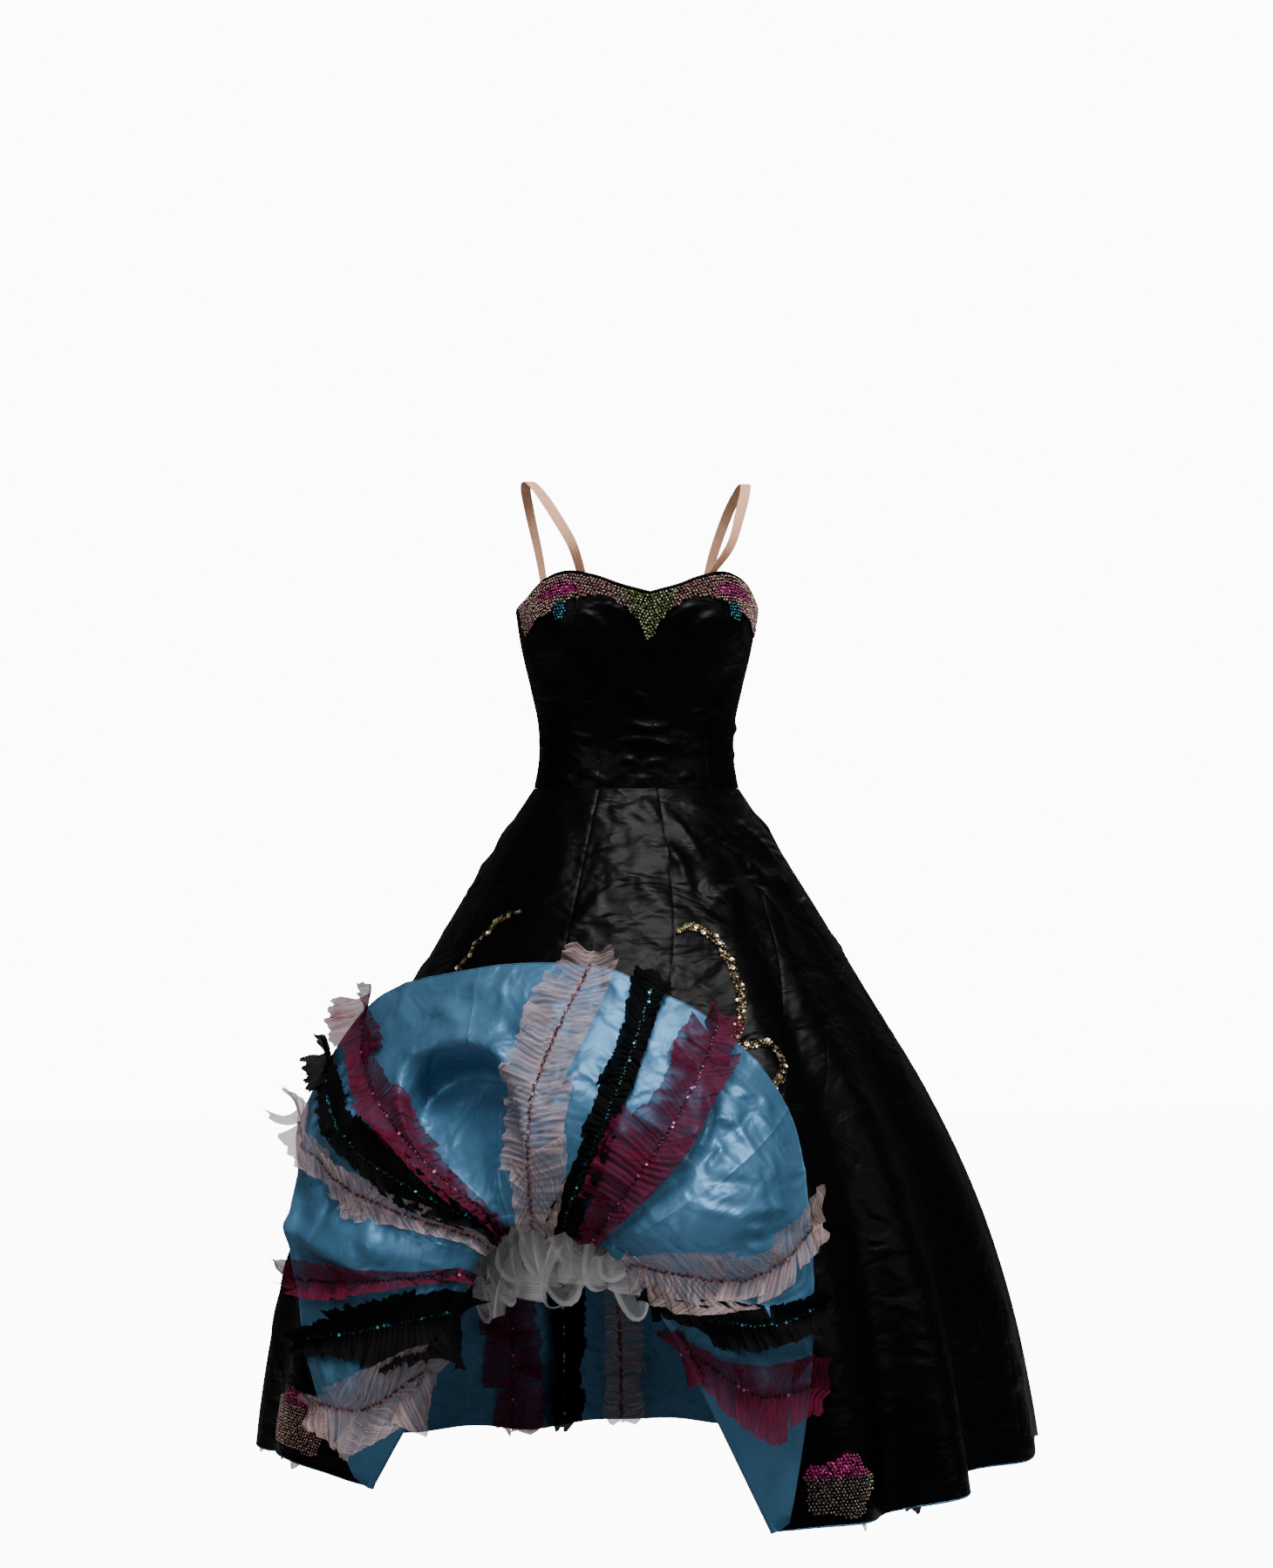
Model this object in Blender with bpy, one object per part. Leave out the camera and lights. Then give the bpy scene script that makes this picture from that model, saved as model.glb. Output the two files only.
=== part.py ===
"""A can-can dress: black satin bodice and ten-gore skirt, lined in blue satin, the front hem held up.

Metres, +Z up. The origin is the centre of the waist seam, and the dress faces -Y.
A place round the dress is an angle in degrees, 0 at the centre front and positive towards +X,
and a drop below the waist seam. Along the waist seam, cloth is counted in gores from the centre front.
"""

import math
from collections import namedtuple

import bmesh
import bpy
from mathutils import Vector

# Driving dimensions
GORES = 10
SEAM_GAP = 0.0003
SATIN = 0.0012
LINING_DEPTH = SATIN + SEAM_GAP
STEP = 0.004
WIDE_STEP = 0.02
BODICE_WALL = 0.0015
CENTRE_FRONT_TURN = 4.0
TOP_EDGE_TURN = -2.0
OVAL_LEAD = 3.2
LATE_DRAG = 2.5
EARLY_DRAG = 2.0
DRAG_CHANGE = 1.3

# The bell that the petticoat holds the skirt out to: radius at the sides, and how deep it is for its width.
Bell = namedtuple("Bell", "drop radius depth_ratio")
BELL = (
    Bell(0.00, 0.122, 0.80),
    Bell(0.05, 0.155, 0.84),
    Bell(0.12, 0.200, 0.90),
    Bell(0.24, 0.272, 0.95),
    Bell(0.36, 0.343, 0.98),
    Bell(0.48, 0.398, 1.00),
    Bell(0.60, 0.436, 1.00),
    Bell(0.72, 0.460, 1.00),
    Bell(0.84, 0.474, 1.00),
)

# The hem where it hangs, from the left tip of the raised front round the back to the right tip.
Hem = namedtuple("Hem", "gore angle drop")
HEM = (
    Hem(2.0, 8.6, 0.808),
    Hem(2.5, 34.0, 0.800),
    Hem(3.0, 59.0, 0.775),
    Hem(3.5, 84.0, 0.772),
    Hem(4.0, 109.0, 0.792),
    Hem(5.0, 160.0, 0.818),
    Hem(6.0, 208.0, 0.822),
    Hem(6.5, 234.0, 0.800),
    Hem(7.0, 262.0, 0.768),
    Hem(7.5, 287.0, 0.762),
    Hem(8.0, 311.0, 0.772),
)

# The raised front: the line where the cloth turns back on itself, and where the hem is held up to.
TurnUp = namedtuple("TurnUp", "gore fold_angle fold_drop hem_angle hem_drop stand_off billow")
TURN_UP = (
    TurnUp(-2.00, -49.0, 0.772, -50.5, 0.762, 0.011, 0.000),
    TurnUp(-1.75, -40.3, 0.641, -55.1, 0.681, 0.040, 0.008),
    TurnUp(-1.35, -36.8, 0.539, -62.5, 0.552, 0.055, 0.015),
    TurnUp(-1.00, -35.8, 0.515, -69.5, 0.445, 0.060, 0.020),
    TurnUp(-0.75, -34.6, 0.501, -75.5, 0.380, 0.068, 0.026),
    TurnUp(-0.35, -32.1, 0.479, -71.0, 0.251, 0.070, 0.034),
    TurnUp(0.00, -29.9, 0.475, -42.0, 0.204, 0.078, 0.040),
    TurnUp(0.25, -26.0, 0.474, -18.5, 0.199, 0.080, 0.036),
    TurnUp(0.45, -20.5, 0.477, -6.8, 0.224, 0.078, 0.036),
    TurnUp(0.65, -15.5, 0.491, 4.6, 0.264, 0.072, 0.042),
    TurnUp(1.00, -12.8, 0.506, 14.6, 0.356, 0.062, 0.045),
    TurnUp(1.25, -10.0, 0.524, 14.8, 0.482, 0.052, 0.036),
    TurnUp(1.65, -2.5, 0.613, 12.6, 0.649, 0.040, 0.012),
    TurnUp(2.00, 8.6, 0.808, 10.2, 0.798, 0.011, 0.000),
)
LIFTED = 2.0

# Soft folds of the hanging cloth, which hang straight down: the push is at the hem, outwards where positive.
Fold = namedtuple("Fold", "angle half_width push growth")
FOLDS = (
    Fold(-150.0, 7.0, 0.020, 1.6),
    Fold(-134.0, 6.0, -0.022, 1.6),
    Fold(-120.0, 6.0, 0.016, 1.6),
    Fold(-99.0, 9.0, -0.085, 3.0),
    Fold(-77.0, 5.0, -0.016, 1.8),
    Fold(-67.0, 5.5, 0.012, 1.8),
    Fold(19.0, 5.5, 0.028, 1.8),
    Fold(28.5, 4.5, -0.024, 1.8),
    Fold(37.0, 5.5, 0.030, 1.8),
    Fold(49.0, 6.0, -0.034, 1.8),
    Fold(62.0, 7.0, 0.014, 1.6),
    Fold(81.0, 8.0, 0.010, 1.6),
    Fold(96.0, 7.0, -0.022, 1.6),
    Fold(111.0, 7.0, 0.022, 1.6),
    Fold(128.0, 7.0, -0.022, 1.6),
    Fold(144.0, 7.0, 0.020, 1.6),
    Fold(159.0, 6.0, -0.024, 1.6),
    Fold(175.0, 7.0, 0.022, 1.6),
    Fold(192.0, 6.0, -0.022, 1.6),
)

# Folds of the turned-back cloth, running from the turn towards the hem, and where along it each is deepest.
FlapFold = namedtuple("FlapFold", "gore half_width push centre")
FLAP_FOLDS = (
    FlapFold(-1.55, 0.12, -0.010, 0.5),
    FlapFold(-1.15, 0.14, 0.014, 0.6),
    FlapFold(-0.92, 0.10, -0.016, 0.6),
    FlapFold(-0.55, 0.12, 0.012, 0.5),
    FlapFold(-0.12, 0.16, -0.030, 0.42),
    FlapFold(0.25, 0.12, 0.012, 0.4),
    FlapFold(0.82, 0.12, -0.012, 0.35),
    FlapFold(1.10, 0.14, 0.010, 0.6),
    FlapFold(1.42, 0.10, -0.012, 0.6),
)

# Rows of a panel: 0 to 1 falls from the waist, 1 to 2 goes round the turn, 2 to 3 comes back up to the hem.
FALL_ROWS = (0.0, 0.09, 0.24, 0.43, 0.62, 0.81, 1.0)
TURN_ROWS = (1.34, 1.67)
FLAP_ROWS = (2.0, 2.14, 2.3, 2.47, 2.64, 2.82, 3.0)
GORE_COLUMNS = (0.0, 0.125, 0.25, 0.35, 0.45, 0.55, 0.65, 0.82, 1.0)
DEEPLY_FOLDED_GORE = 2
TURN_RADIUS = 0.010
TIP_RADIUS = 0.0035
FLAP_FOLD_LENGTH = 0.35
BILLOW_LEAN = 0.8

# Net ruffles: three to a gore, each on a column of the lining.
Ruffle = namedtuple("Ruffle", "name column colour")
RUFFLES = (
    Ruffle("pink", 2, (0.55, 0.42, 0.42, 1.0)),
    Ruffle("black", 4, (0.01, 0.01, 0.015, 1.0)),
    Ruffle("wine", 6, (0.22, 0.02, 0.09, 1.0)),
)
RUFFLE_START = 0.6
RUFFLE_HALF_WIDTH = 0.036
RUFFLE_HALF_WIDTH_IN_FOLDS = 0.008
RUFFLE_WALL = 0.0010
RUFFLE_SEAT = 0.0004
RUFFLE_LOW = 0.0055
RUFFLE_HIGH = 0.013
RUFFLE_PAST_RAISED_HEM = 0.024
RUFFLE_PAST_HANGING_HEM = 0.009
RUFFLE_SHARE = 0.35
HANGING_STEPS = 3
FLAP_STEPS = 2

# The bodice: half width and the depths in front and behind, by height over the waist seam.
Body = namedtuple("Body", "height half_width front back")
BODY = (
    Body(0.000, 0.1220, 0.0976, 0.0976),
    Body(0.035, 0.1165, 0.0900, 0.0860),
    Body(0.075, 0.1175, 0.0900, 0.0860),
    Body(0.120, 0.1270, 0.0960, 0.0900),
    Body(0.165, 0.1375, 0.1040, 0.0950),
    Body(0.210, 0.1440, 0.1080, 0.0980),
    Body(0.260, 0.1460, 0.1060, 0.0960),
)
CUP_ANGLE = 35.0
CUP_SPREAD = 21.0
CUP_HEIGHT = 0.188
CUP_RISE = 0.050
CUP_DEPTH = 0.022
Neck = namedtuple("Neck", "angle height")
NECKLINE = (
    Neck(0.0, 0.229),
    Neck(13.0, 0.238),
    Neck(24.0, 0.248),
    Neck(38.0, 0.2536),
    Neck(52.0, 0.245),
    Neck(72.0, 0.221),
    Neck(100.0, 0.206),
    Neck(135.0, 0.190),
    Neck(180.0, 0.182),
)
Panel = namedtuple("Panel", "name start end columns")
BODICE_PANELS = (
    Panel("bodice_front", 0.0, 1.0, 5),
    Panel("bodice_side", 1.0, 2.5, 5),
    Panel("bodice_back", 2.5, 5.0, 5),
)
BODICE_ROWS = (0.0, 0.14, 0.3, 0.45, 0.6, 0.74, 0.87, 1.0)

# Shoulder straps, given for the dress's left one; the other mirrors it.
STRAP_WIDTH = 0.0124
STRAP_WALL = 0.0012
STRAP_FRONT_GORE = 0.96
STRAP_BACK_GORE = 3.8
STRAP_END_HALF_GORE = 0.072
ARMPIT = Vector((0.0, 0.0, 0.2))
Strap = namedtuple("Strap", "out back up turn")
STRAP_OVER_SHOULDER = (
    Strap(0.0940, -0.101, 0.284, 30.0),
    Strap(0.1100, -0.073, 0.320, 22.0),
    Strap(0.1230, -0.040, 0.348, 12.0),
    Strap(0.1300, -0.006, 0.3615, 0.0),
    Strap(0.1290, 0.026, 0.3550, -12.0),
    Strap(0.1190, 0.054, 0.325, -24.0),
    Strap(0.1050, 0.072, 0.275, -34.0),
    Strap(0.0960, 0.077, 0.225, -42.0),
)

# The net petticoat: a plain cone from the waist, and a gathered frill round its hem.
PETTICOAT_WALL = 0.0010
PETTICOAT_INSET = 0.0031
Cone = namedtuple("Cone", "drop radius depth_ratio")
PETTICOAT = (
    Cone(0.04, 0.136, 0.84),
    Cone(0.14, 0.190, 0.90),
    Cone(0.30, 0.262, 0.96),
    Cone(0.44, 0.322, 1.00),
)
PETTICOAT_COLUMNS = 30
FRILL_WAVES = 22
FRILL_WAVE = 0.012
FRILL_WAVE_AT_TOP = 0.15
FRILL_DEPTH = 0.115
FRILL_FLARE = 0.022
FRILL_ROWS = 3

BLACK = (0.006, 0.006, 0.007, 1.0)
BLUE = (0.05, 0.16, 0.28, 1.0)
FLESH = (0.62, 0.34, 0.24, 1.0)
GREY = (0.45, 0.45, 0.46, 1.0)


def along(rows, key, field, at):
    """The value of a column of a table, read on a smooth curve through its rows."""
    keys = [getattr(row, key) for row in rows]
    values = [getattr(row, field) for row in rows]
    at = min(max(at, keys[0]), keys[-1])
    i = max(k for k in range(len(keys) - 1) if keys[k] <= at)

    def slope(k):
        before, after = max(k - 1, 0), min(k + 1, len(keys) - 1)
        return (values[after] - values[before]) / (keys[after] - keys[before])

    span = keys[i + 1] - keys[i]
    t = (at - keys[i]) / span
    return (
        values[i] * (1 + 2 * t) * (1 - t) ** 2
        + values[i + 1] * t * t * (3 - 2 * t)
        + slope(i) * span * t * (1 - t) ** 2
        - slope(i + 1) * span * t * t * (1 - t)
    )


def mix(start, end, share):
    return start + (end - start) * share


def bump(distance, half_width):
    return math.exp(-((distance / half_width) ** 2))


def round_bell(angle, drop, lift):
    """A point on the bell, moved straight out from the axis by the lift."""
    radius = along(BELL, "drop", "radius", drop)
    ratio = along(BELL, "drop", "depth_ratio", drop)
    turn = math.radians(angle)
    return Vector(
        ((radius + lift) * math.sin(turn), -(radius * ratio + lift) * math.cos(turn), -drop)
    )


def waist_angle(gore):
    """Equal lengths of an oval waist seam take less angle in front than at the sides."""
    half = GORES / 2
    lead = OVAL_LEAD * math.sin(2 * math.pi * gore / half)
    return CENTRE_FRONT_TURN + 180.0 / half * gore - lead


def cloth_end(gore):
    """Angle and drop where the cloth stops falling: the turn in the raised front, and elsewhere the hem."""
    if abs(gore) <= LIFTED:
        return (
            along(TURN_UP, "gore", "fold_angle", gore),
            along(TURN_UP, "gore", "fold_drop", gore),
        )
    round_to = gore if gore > 0 else gore + GORES
    angle = along(HEM, "gore", "angle", round_to)
    return angle - (0 if gore > 0 else 360), along(HEM, "gore", "drop", round_to)


def drag(gore, share):
    """How far cloth has gone round towards its end: late in the raised front, and early where it hangs."""
    past_front = min(max(gore - 1.0, -LIFTED - gore, 0.0), 1.0)
    early = 1 - (1 - share) ** EARLY_DRAG
    return mix(share**LATE_DRAG, early, past_front**DRAG_CHANGE)


def falling(gore, share):
    """The cloth between the waist seam and its end, dragged round towards the raised front."""
    end_angle, end_drop = cloth_end(gore)
    angle = mix(waist_angle(gore), end_angle, drag(gore, share))
    push = 0.0
    for fold in FOLDS:
        away = (angle - fold.angle + 180.0) % 360.0 - 180.0
        push += fold.push * bump(away, fold.half_width) * share**fold.growth
    return round_bell(angle, end_drop * share + SEAM_GAP / 2, push)


def turn_radius(gore):
    return mix(TURN_RADIUS, TIP_RADIUS, (abs(gore) / LIFTED) ** 4)


def fold_frame(gore):
    """The end of the falling cloth, the way out of it, and the way on past the turn."""
    low, high = max(gore - WIDE_STEP, -LIFTED), min(gore + WIDE_STEP, LIFTED)
    point = falling(gore, 1.0)
    line = (falling(high, 1.0) - falling(low, 1.0)).normalized()
    down = falling(gore, 1.0) - falling(gore, 1.0 - WIDE_STEP)
    out = down.cross(line).normalized()
    if out.dot(Vector((point.x, point.y, 0))) < 0:
        out = -out
    onwards = out.cross(line).normalized()
    if onwards.dot(down) < 0:
        onwards = -onwards
    return point, out, onwards


def turning(gore, share):
    """Round the turn, a half circle whose inside is the black face."""
    point, out, onwards = fold_frame(gore)
    radius = turn_radius(gore)
    around = math.pi * share
    return point + out * radius * (1 - math.cos(around)) + onwards * radius * math.sin(around)


def flap(gore, share):
    """The cloth turned back over the skirt, from the turn to the raised hem."""
    start = turning(gore, 1.0)
    fold_angle, fold_drop = cloth_end(gore)
    hem_angle = along(TURN_UP, "gore", "hem_angle", gore)
    hem_drop = along(TURN_UP, "gore", "hem_drop", gore)
    stand_off = along(TURN_UP, "gore", "stand_off", gore)
    billow = along(TURN_UP, "gore", "billow", gore)
    for fold in FLAP_FOLDS:
        push = fold.push * bump(gore - fold.gore, fold.half_width)
        billow += push * bump(share - fold.centre, FLAP_FOLD_LENGTH)
    lift = mix(2 * turn_radius(gore), stand_off, share)
    angle, drop = mix(fold_angle, hem_angle, share), mix(fold_drop, hem_drop, share)
    resting = round_bell(angle, drop, lift + billow * math.sin(math.pi * share**BILLOW_LEAN))
    first = round_bell(fold_angle, fold_drop, 2 * turn_radius(gore))
    return resting + (start - first) * (1 - share) ** 3


def skirt(gore, row):
    """The black face of the skirt: row 0 to 1 falls, 1 to 2 turns, 2 to 3 is the turned-back cloth."""
    if row <= 1:
        return falling(gore, row)
    if row <= 2:
        return turning(gore, row - 1)
    return flap(gore, row - 2)


def skirt_normal(gore, row, last_row):
    """The way out of the black face."""
    low, high = max(row - STEP, 0.0), min(row + STEP, last_row)
    down = skirt(gore, high) - skirt(gore, low)
    left, right = gore - STEP, gore + STEP
    if row > 1:
        left, right = max(left, -LIFTED), min(right, LIFTED)
    across = skirt(right, row) - skirt(left, row)
    return down.cross(across).normalized()


def seam_side(surface, column, row, rows, way):
    """The way off a seam at right angles to it, along the cloth."""
    down = surface(column, min(row + STEP, rows[-1])) - surface(column, max(row - STEP, rows[0]))
    across = way.cross(down)
    if row == rows[0]:
        across.z = 0.0
    return across.normalized()


def sheet_points(surface, normal, columns, rows, depth):
    """Rows of points at a depth under a surface, the first row kept at its own height."""
    points = []
    for row in rows:
        line = []
        for k, column in enumerate(columns):
            point = surface(column, row)
            way = normal(column, row)
            if row == rows[0]:
                way = Vector((way.x, way.y, 0)).normalized()
            side = {0: 1.0, len(columns) - 1: -1.0}.get(k, 0.0)
            if side:
                inwards = seam_side(surface, column, row, rows, way)
                if inwards.dot(surface(column + side * STEP, row) - point) < 0:
                    inwards = -inwards
                point = point + inwards * SEAM_GAP / 2
            line.append(point - way * depth)
        points.append(line)
    return points


def wall(name, outer, inner, colour, roughness, closed=False):
    """A closed solid between two grids of points, whose rows run down and whose columns run to the right."""
    mesh = bpy.data.meshes.new(name)
    shape = bmesh.new()
    sheets = [[[shape.verts.new(p) for p in line] for line in grid] for grid in (outer, inner)]
    rows, columns = len(outer), len(outer[0])
    spans = columns if closed else columns - 1

    def face(a, b, c, d):
        shape.faces.new((a, b, c))
        shape.faces.new((a, c, d))

    for r in range(rows - 1):
        for c in range(spans):
            n = (c + 1) % columns
            for sheet, flip in ((sheets[0], False), (sheets[1], True)):
                corners = (sheet[r][c], sheet[r + 1][c], sheet[r + 1][n], sheet[r][n])
                if flip:
                    a, b, c1, d = corners
                    shape.faces.new((a, c1, b))
                    shape.faces.new((a, d, c1))
                else:
                    face(*corners)
    out, into = sheets
    for c in range(spans):
        n = (c + 1) % columns
        face(out[0][c], out[0][n], into[0][n], into[0][c])
        face(out[-1][n], out[-1][c], into[-1][c], into[-1][n])
    if not closed:
        for r in range(rows - 1):
            face(out[r + 1][0], out[r][0], into[r][0], into[r + 1][0])
            face(out[r][-1], out[r + 1][-1], into[r + 1][-1], into[r][-1])
    bmesh.ops.recalc_face_normals(shape, faces=shape.faces)
    shape.to_mesh(mesh)
    shape.free()
    mesh.shade_smooth()
    mesh.set_sharp_from_angle(angle=math.radians(40))
    mesh.materials.append(cloth(colour, roughness))
    made = bpy.data.objects.new(name, mesh)
    bpy.context.scene.collection.objects.link(made)
    return made


def cloth(colour, roughness):
    """One plain material for each colour and roughness."""
    name = "cloth_" + "_".join(f"{round(100 * value)}" for value in (*colour[:3], roughness))
    found = bpy.data.materials.get(name)
    if found:
        return found
    made = bpy.data.materials.new(name)
    made.use_nodes = True
    shader = made.node_tree.nodes["Principled BSDF"]
    shader.inputs["Base Color"].default_value = colour
    shader.inputs["Roughness"].default_value = roughness
    shader.inputs["Metallic"].default_value = 0.0
    return made


def gore_rows(index):
    lifted = -LIFTED <= index < LIFTED
    return (*FALL_ROWS, *TURN_ROWS, *FLAP_ROWS) if lifted else FALL_ROWS


def gore_name(index):
    return f"{'left' if index >= 0 else 'right'}_{index + 1 if index >= 0 else -index}"


def gore_columns(index):
    """The gore beside the raised front falls in deep folds, so it has a column more between every two."""
    columns = [index + share for share in GORE_COLUMNS]
    if index == DEEPLY_FOLDED_GORE:
        between = [mix(a, b, 0.5) for a, b in zip(columns, columns[1:])]
        columns = sorted(columns + between)
    return columns


def gore_sheet(index, depth):
    """The points of one gore at a depth under the black face."""
    rows = gore_rows(index)
    columns = gore_columns(index)

    def normal(gore, row):
        return skirt_normal(gore, row, rows[-1])

    return sheet_points(skirt, normal, columns, rows, depth)


def skirt_gore(index):
    outer, inner = gore_sheet(index, 0.0), gore_sheet(index, SATIN)
    wall(f"skirt_{gore_name(index)}", outer, inner, BLACK, 0.35)


def lining_gore(index):
    outer, inner = gore_sheet(index, LINING_DEPTH), gore_sheet(index, LINING_DEPTH + SATIN)
    wall(f"lining_{gore_name(index)}", outer, inner, BLUE, 0.3)


def walk(line, column, distance):
    """A point a distance along a row of points from one of its columns, backwards if negative."""
    step = 1 if distance > 0 else -1
    left = abs(distance)
    here = column
    while 0 <= here + step < len(line):
        span = (line[here + step] - line[here]).length
        if left <= span:
            return line[here].lerp(line[here + step], left / span)
        left -= span
        here += step
    return line[here].copy()


def shortest_apart(line, columns):
    """The least straight distance between neighbours among some columns of a row of points."""
    return min((line[b] - line[a]).length for a, b in zip(columns, columns[1:]))


def ruffle_lines(index, column):
    """Both edges and the centre of a ruffle, laid on the lining, with the way off it, a row at a time."""
    face = gore_sheet(index, LINING_DEPTH + SATIN)
    above = gore_sheet(index, LINING_DEPTH + 2 * SATIN)
    rows = gore_rows(index)
    finer = (len(face[0]) - 1) // (len(GORE_COLUMNS) - 1)
    column *= finer
    seated = [kind.column * finer for kind in RUFFLES]
    widest = RUFFLE_HALF_WIDTH_IN_FOLDS if index == DEEPLY_FOLDED_GORE else RUFFLE_HALF_WIDTH
    lines = []
    for r, row in enumerate(rows):
        if row < RUFFLE_START:
            continue
        half = min(widest, RUFFLE_SHARE * shortest_apart(face[r], seated))
        edge = [(walk(face[r], column, s), walk(above[r], column, s)) for s in (-half, half)]
        centre = (face[r][column], above[r][column])
        triple = [edge[0], centre, edge[1]]
        lines.append((row, [(p, (q - p).normalized()) for p, q in triple]))
    beyond = RUFFLE_PAST_RAISED_HEM if rows[-1] > 1 else RUFFLE_PAST_HANGING_HEM
    past = []
    for (p, n), (before, _) in zip(lines[-1][1], lines[-2][1]):
        past.append((p + (p - before).normalized() * beyond, n))
    lines.append((rows[-1] + 1.0, past))
    return lines


def ruffle(index, kind):
    """A strip of net gathered along its middle, its two edges standing off the lining in waves."""
    lines = ruffle_lines(index, kind.column)
    top, base = [], []
    count = 0
    for (row, here), (_, after) in zip(lines, lines[1:]):
        at_turn = 0.95 < row < 2.0
        steps = FLAP_STEPS if row >= 2.0 else HANGING_STEPS
        if at_turn or row == gore_rows(index)[-1]:
            steps = 1
        for k in range(steps):
            points = [
                (p.lerp(q, k / steps), m.lerp(n, k / steps).normalized())
                for (p, m), (q, n) in zip(here, after)
            ]
            top_line, base_line = ruffle_section(points, count, at_turn)
            top.append(top_line)
            base.append(base_line)
            count += 1
    top_line, base_line = ruffle_section(lines[-1][1], count, False)
    top.append(top_line)
    base.append(base_line)
    wall(f"ruffle_{kind.name}_{gore_name(index)}", base, top, kind.colour, 0.9)


def ruffle_section(points, count, flat):
    """One row of a ruffle's two faces; the two edges rise by turns."""
    tall = (RUFFLE_HIGH, RUFFLE_LOW) if count % 2 else (RUFFLE_LOW, RUFFLE_HIGH)
    if flat:
        tall = (RUFFLE_LOW, RUFFLE_LOW)
    lifts = (tall[0], RUFFLE_SEAT, tall[1])
    base = [p + n * lift for (p, n), lift in zip(points, lifts)]
    top = [p + n * (lift + RUFFLE_WALL) for (p, n), lift in zip(points, lifts)]
    return top, base


def seam_angle(gore, height):
    """Where a line of the bodice stands, turned a little from the waist to the top edge."""
    turn = mix(0.0, TOP_EDGE_TURN - CENTRE_FRONT_TURN, height / BODY[-1].height)
    return waist_angle(gore) + turn


def bodice_point(angle, height):
    turn = math.radians(angle)
    half_width = along(BODY, "height", "half_width", height)
    depth = along(BODY, "height", "front" if math.cos(turn) > 0 else "back", height)
    point = Vector((half_width * math.sin(turn), -depth * math.cos(turn), height))
    rise = (height - CUP_HEIGHT) / CUP_RISE
    for side in (-1, 1):
        spread = (angle - TOP_EDGE_TURN - side * CUP_ANGLE) / CUP_SPREAD
        out = Vector((math.sin(turn), -math.cos(turn), 0))
        point += out * CUP_DEPTH * math.exp(-spread * spread - rise * rise)
    return point


def neck_height(angle):
    from_front = abs((angle - TOP_EDGE_TURN + 180) % 360 - 180)
    return along(NECKLINE, "angle", "height", from_front)


def bodice_surface(gore, share):
    """Share 0 is the top edge and 1 the waist seam."""
    height = neck_height(seam_angle(gore, BODY[-1].height)) * (1 - share) + SEAM_GAP / 2
    return bodice_point(seam_angle(gore, height), height)


def bodice_normal(gore, share):
    low, high = max(share - STEP, 0.0), min(share + STEP, 1.0)
    down = bodice_surface(gore, high) - bodice_surface(gore, low)
    across = bodice_surface(gore + STEP, share) - bodice_surface(gore - STEP, share)
    way = down.cross(across).normalized()
    if share == 1.0:
        way = Vector((way.x, way.y, 0)).normalized()
    return way


def bodice_panel(panel, side):
    start, end = (panel.start, panel.end) if side > 0 else (-panel.end, -panel.start)
    columns = [mix(start, end, k / panel.columns) for k in range(panel.columns + 1)]
    outer = sheet_points(bodice_surface, bodice_normal, columns, BODICE_ROWS, 0.0)
    inner = sheet_points(bodice_surface, bodice_normal, columns, BODICE_ROWS, BODICE_WALL)
    wall(f"{panel.name}_{'left' if side > 0 else 'right'}", outer, inner, BLACK, 0.35)


def strap_seat(gore):
    """A point just clear of the middle of the bodice's top edge, between two columns of a panel."""
    along_side = abs(gore)
    side = 1 if gore > 0 else -1
    panel = next(p for p in BODICE_PANELS if p.start <= along_side <= p.end)
    width = (panel.end - panel.start) / panel.columns
    step = math.floor((along_side - panel.start) / width)
    ends = [side * (panel.start + width * k) for k in (step, step + 1)]
    middle = [bodice_surface(g, 0.0) - bodice_normal(g, 0.0) * BODICE_WALL / 2 for g in ends]
    share = (along_side - abs(ends[0])) / width
    return middle[0].lerp(middle[1], share) + Vector((0, 0, 3 * SEAM_GAP))


def strap(side):
    """A flat elastic strap from the cup's peak over the shoulder to the back's top edge."""
    half = STRAP_WIDTH / 2
    lines = []
    ends = (-STRAP_END_HALF_GORE, STRAP_END_HALF_GORE)
    front = [strap_seat(side * STRAP_FRONT_GORE + offset) for offset in ends]
    back = [strap_seat(side * STRAP_BACK_GORE - offset) for offset in ends]
    over = [Vector((side * s.out, s.back, s.up)) for s in STRAP_OVER_SHOULDER]
    path = [(front[0] + front[1]) / 2, *over, (back[0] + back[1]) / 2]
    lines.append(front)
    for k, (point, given) in enumerate(zip(over, STRAP_OVER_SHOULDER), start=1):
        way = (path[k + 1] - path[k - 1]).normalized()
        turn = math.radians(given.turn)
        across = Vector((math.cos(turn), side * math.sin(turn), 0))
        across = (across - way * across.dot(way)).normalized() * half
        lines.append([point - across, point + across])
    lines.append(back)
    outer, inner = [], []
    for k, (start, end) in enumerate(lines):
        way = path[min(k + 1, len(path) - 1)] - path[max(k - 1, 0)]
        out = way.cross(end - start).normalized() * STRAP_WALL / 2
        if k in (0, len(lines) - 1):
            out = Vector((path[k].x, path[k].y, 0)).normalized() * STRAP_WALL / 2
        elif out.dot(path[k] - ARMPIT) < 0:
            out = -out
        outer.append([start + out, end + out])
        inner.append([start - out, end - out])
    wall(f"strap_{'left' if side > 0 else 'right'}", outer, inner, FLESH, 0.6)


def petticoat_point(angle, drop, lift):
    radius = along(PETTICOAT, "drop", "radius", drop)
    ratio = along(PETTICOAT, "drop", "depth_ratio", drop)
    turn = math.radians(angle)
    return Vector(
        ((radius + lift) * math.sin(turn), -(radius * ratio + lift) * math.cos(turn), -drop)
    )


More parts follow.
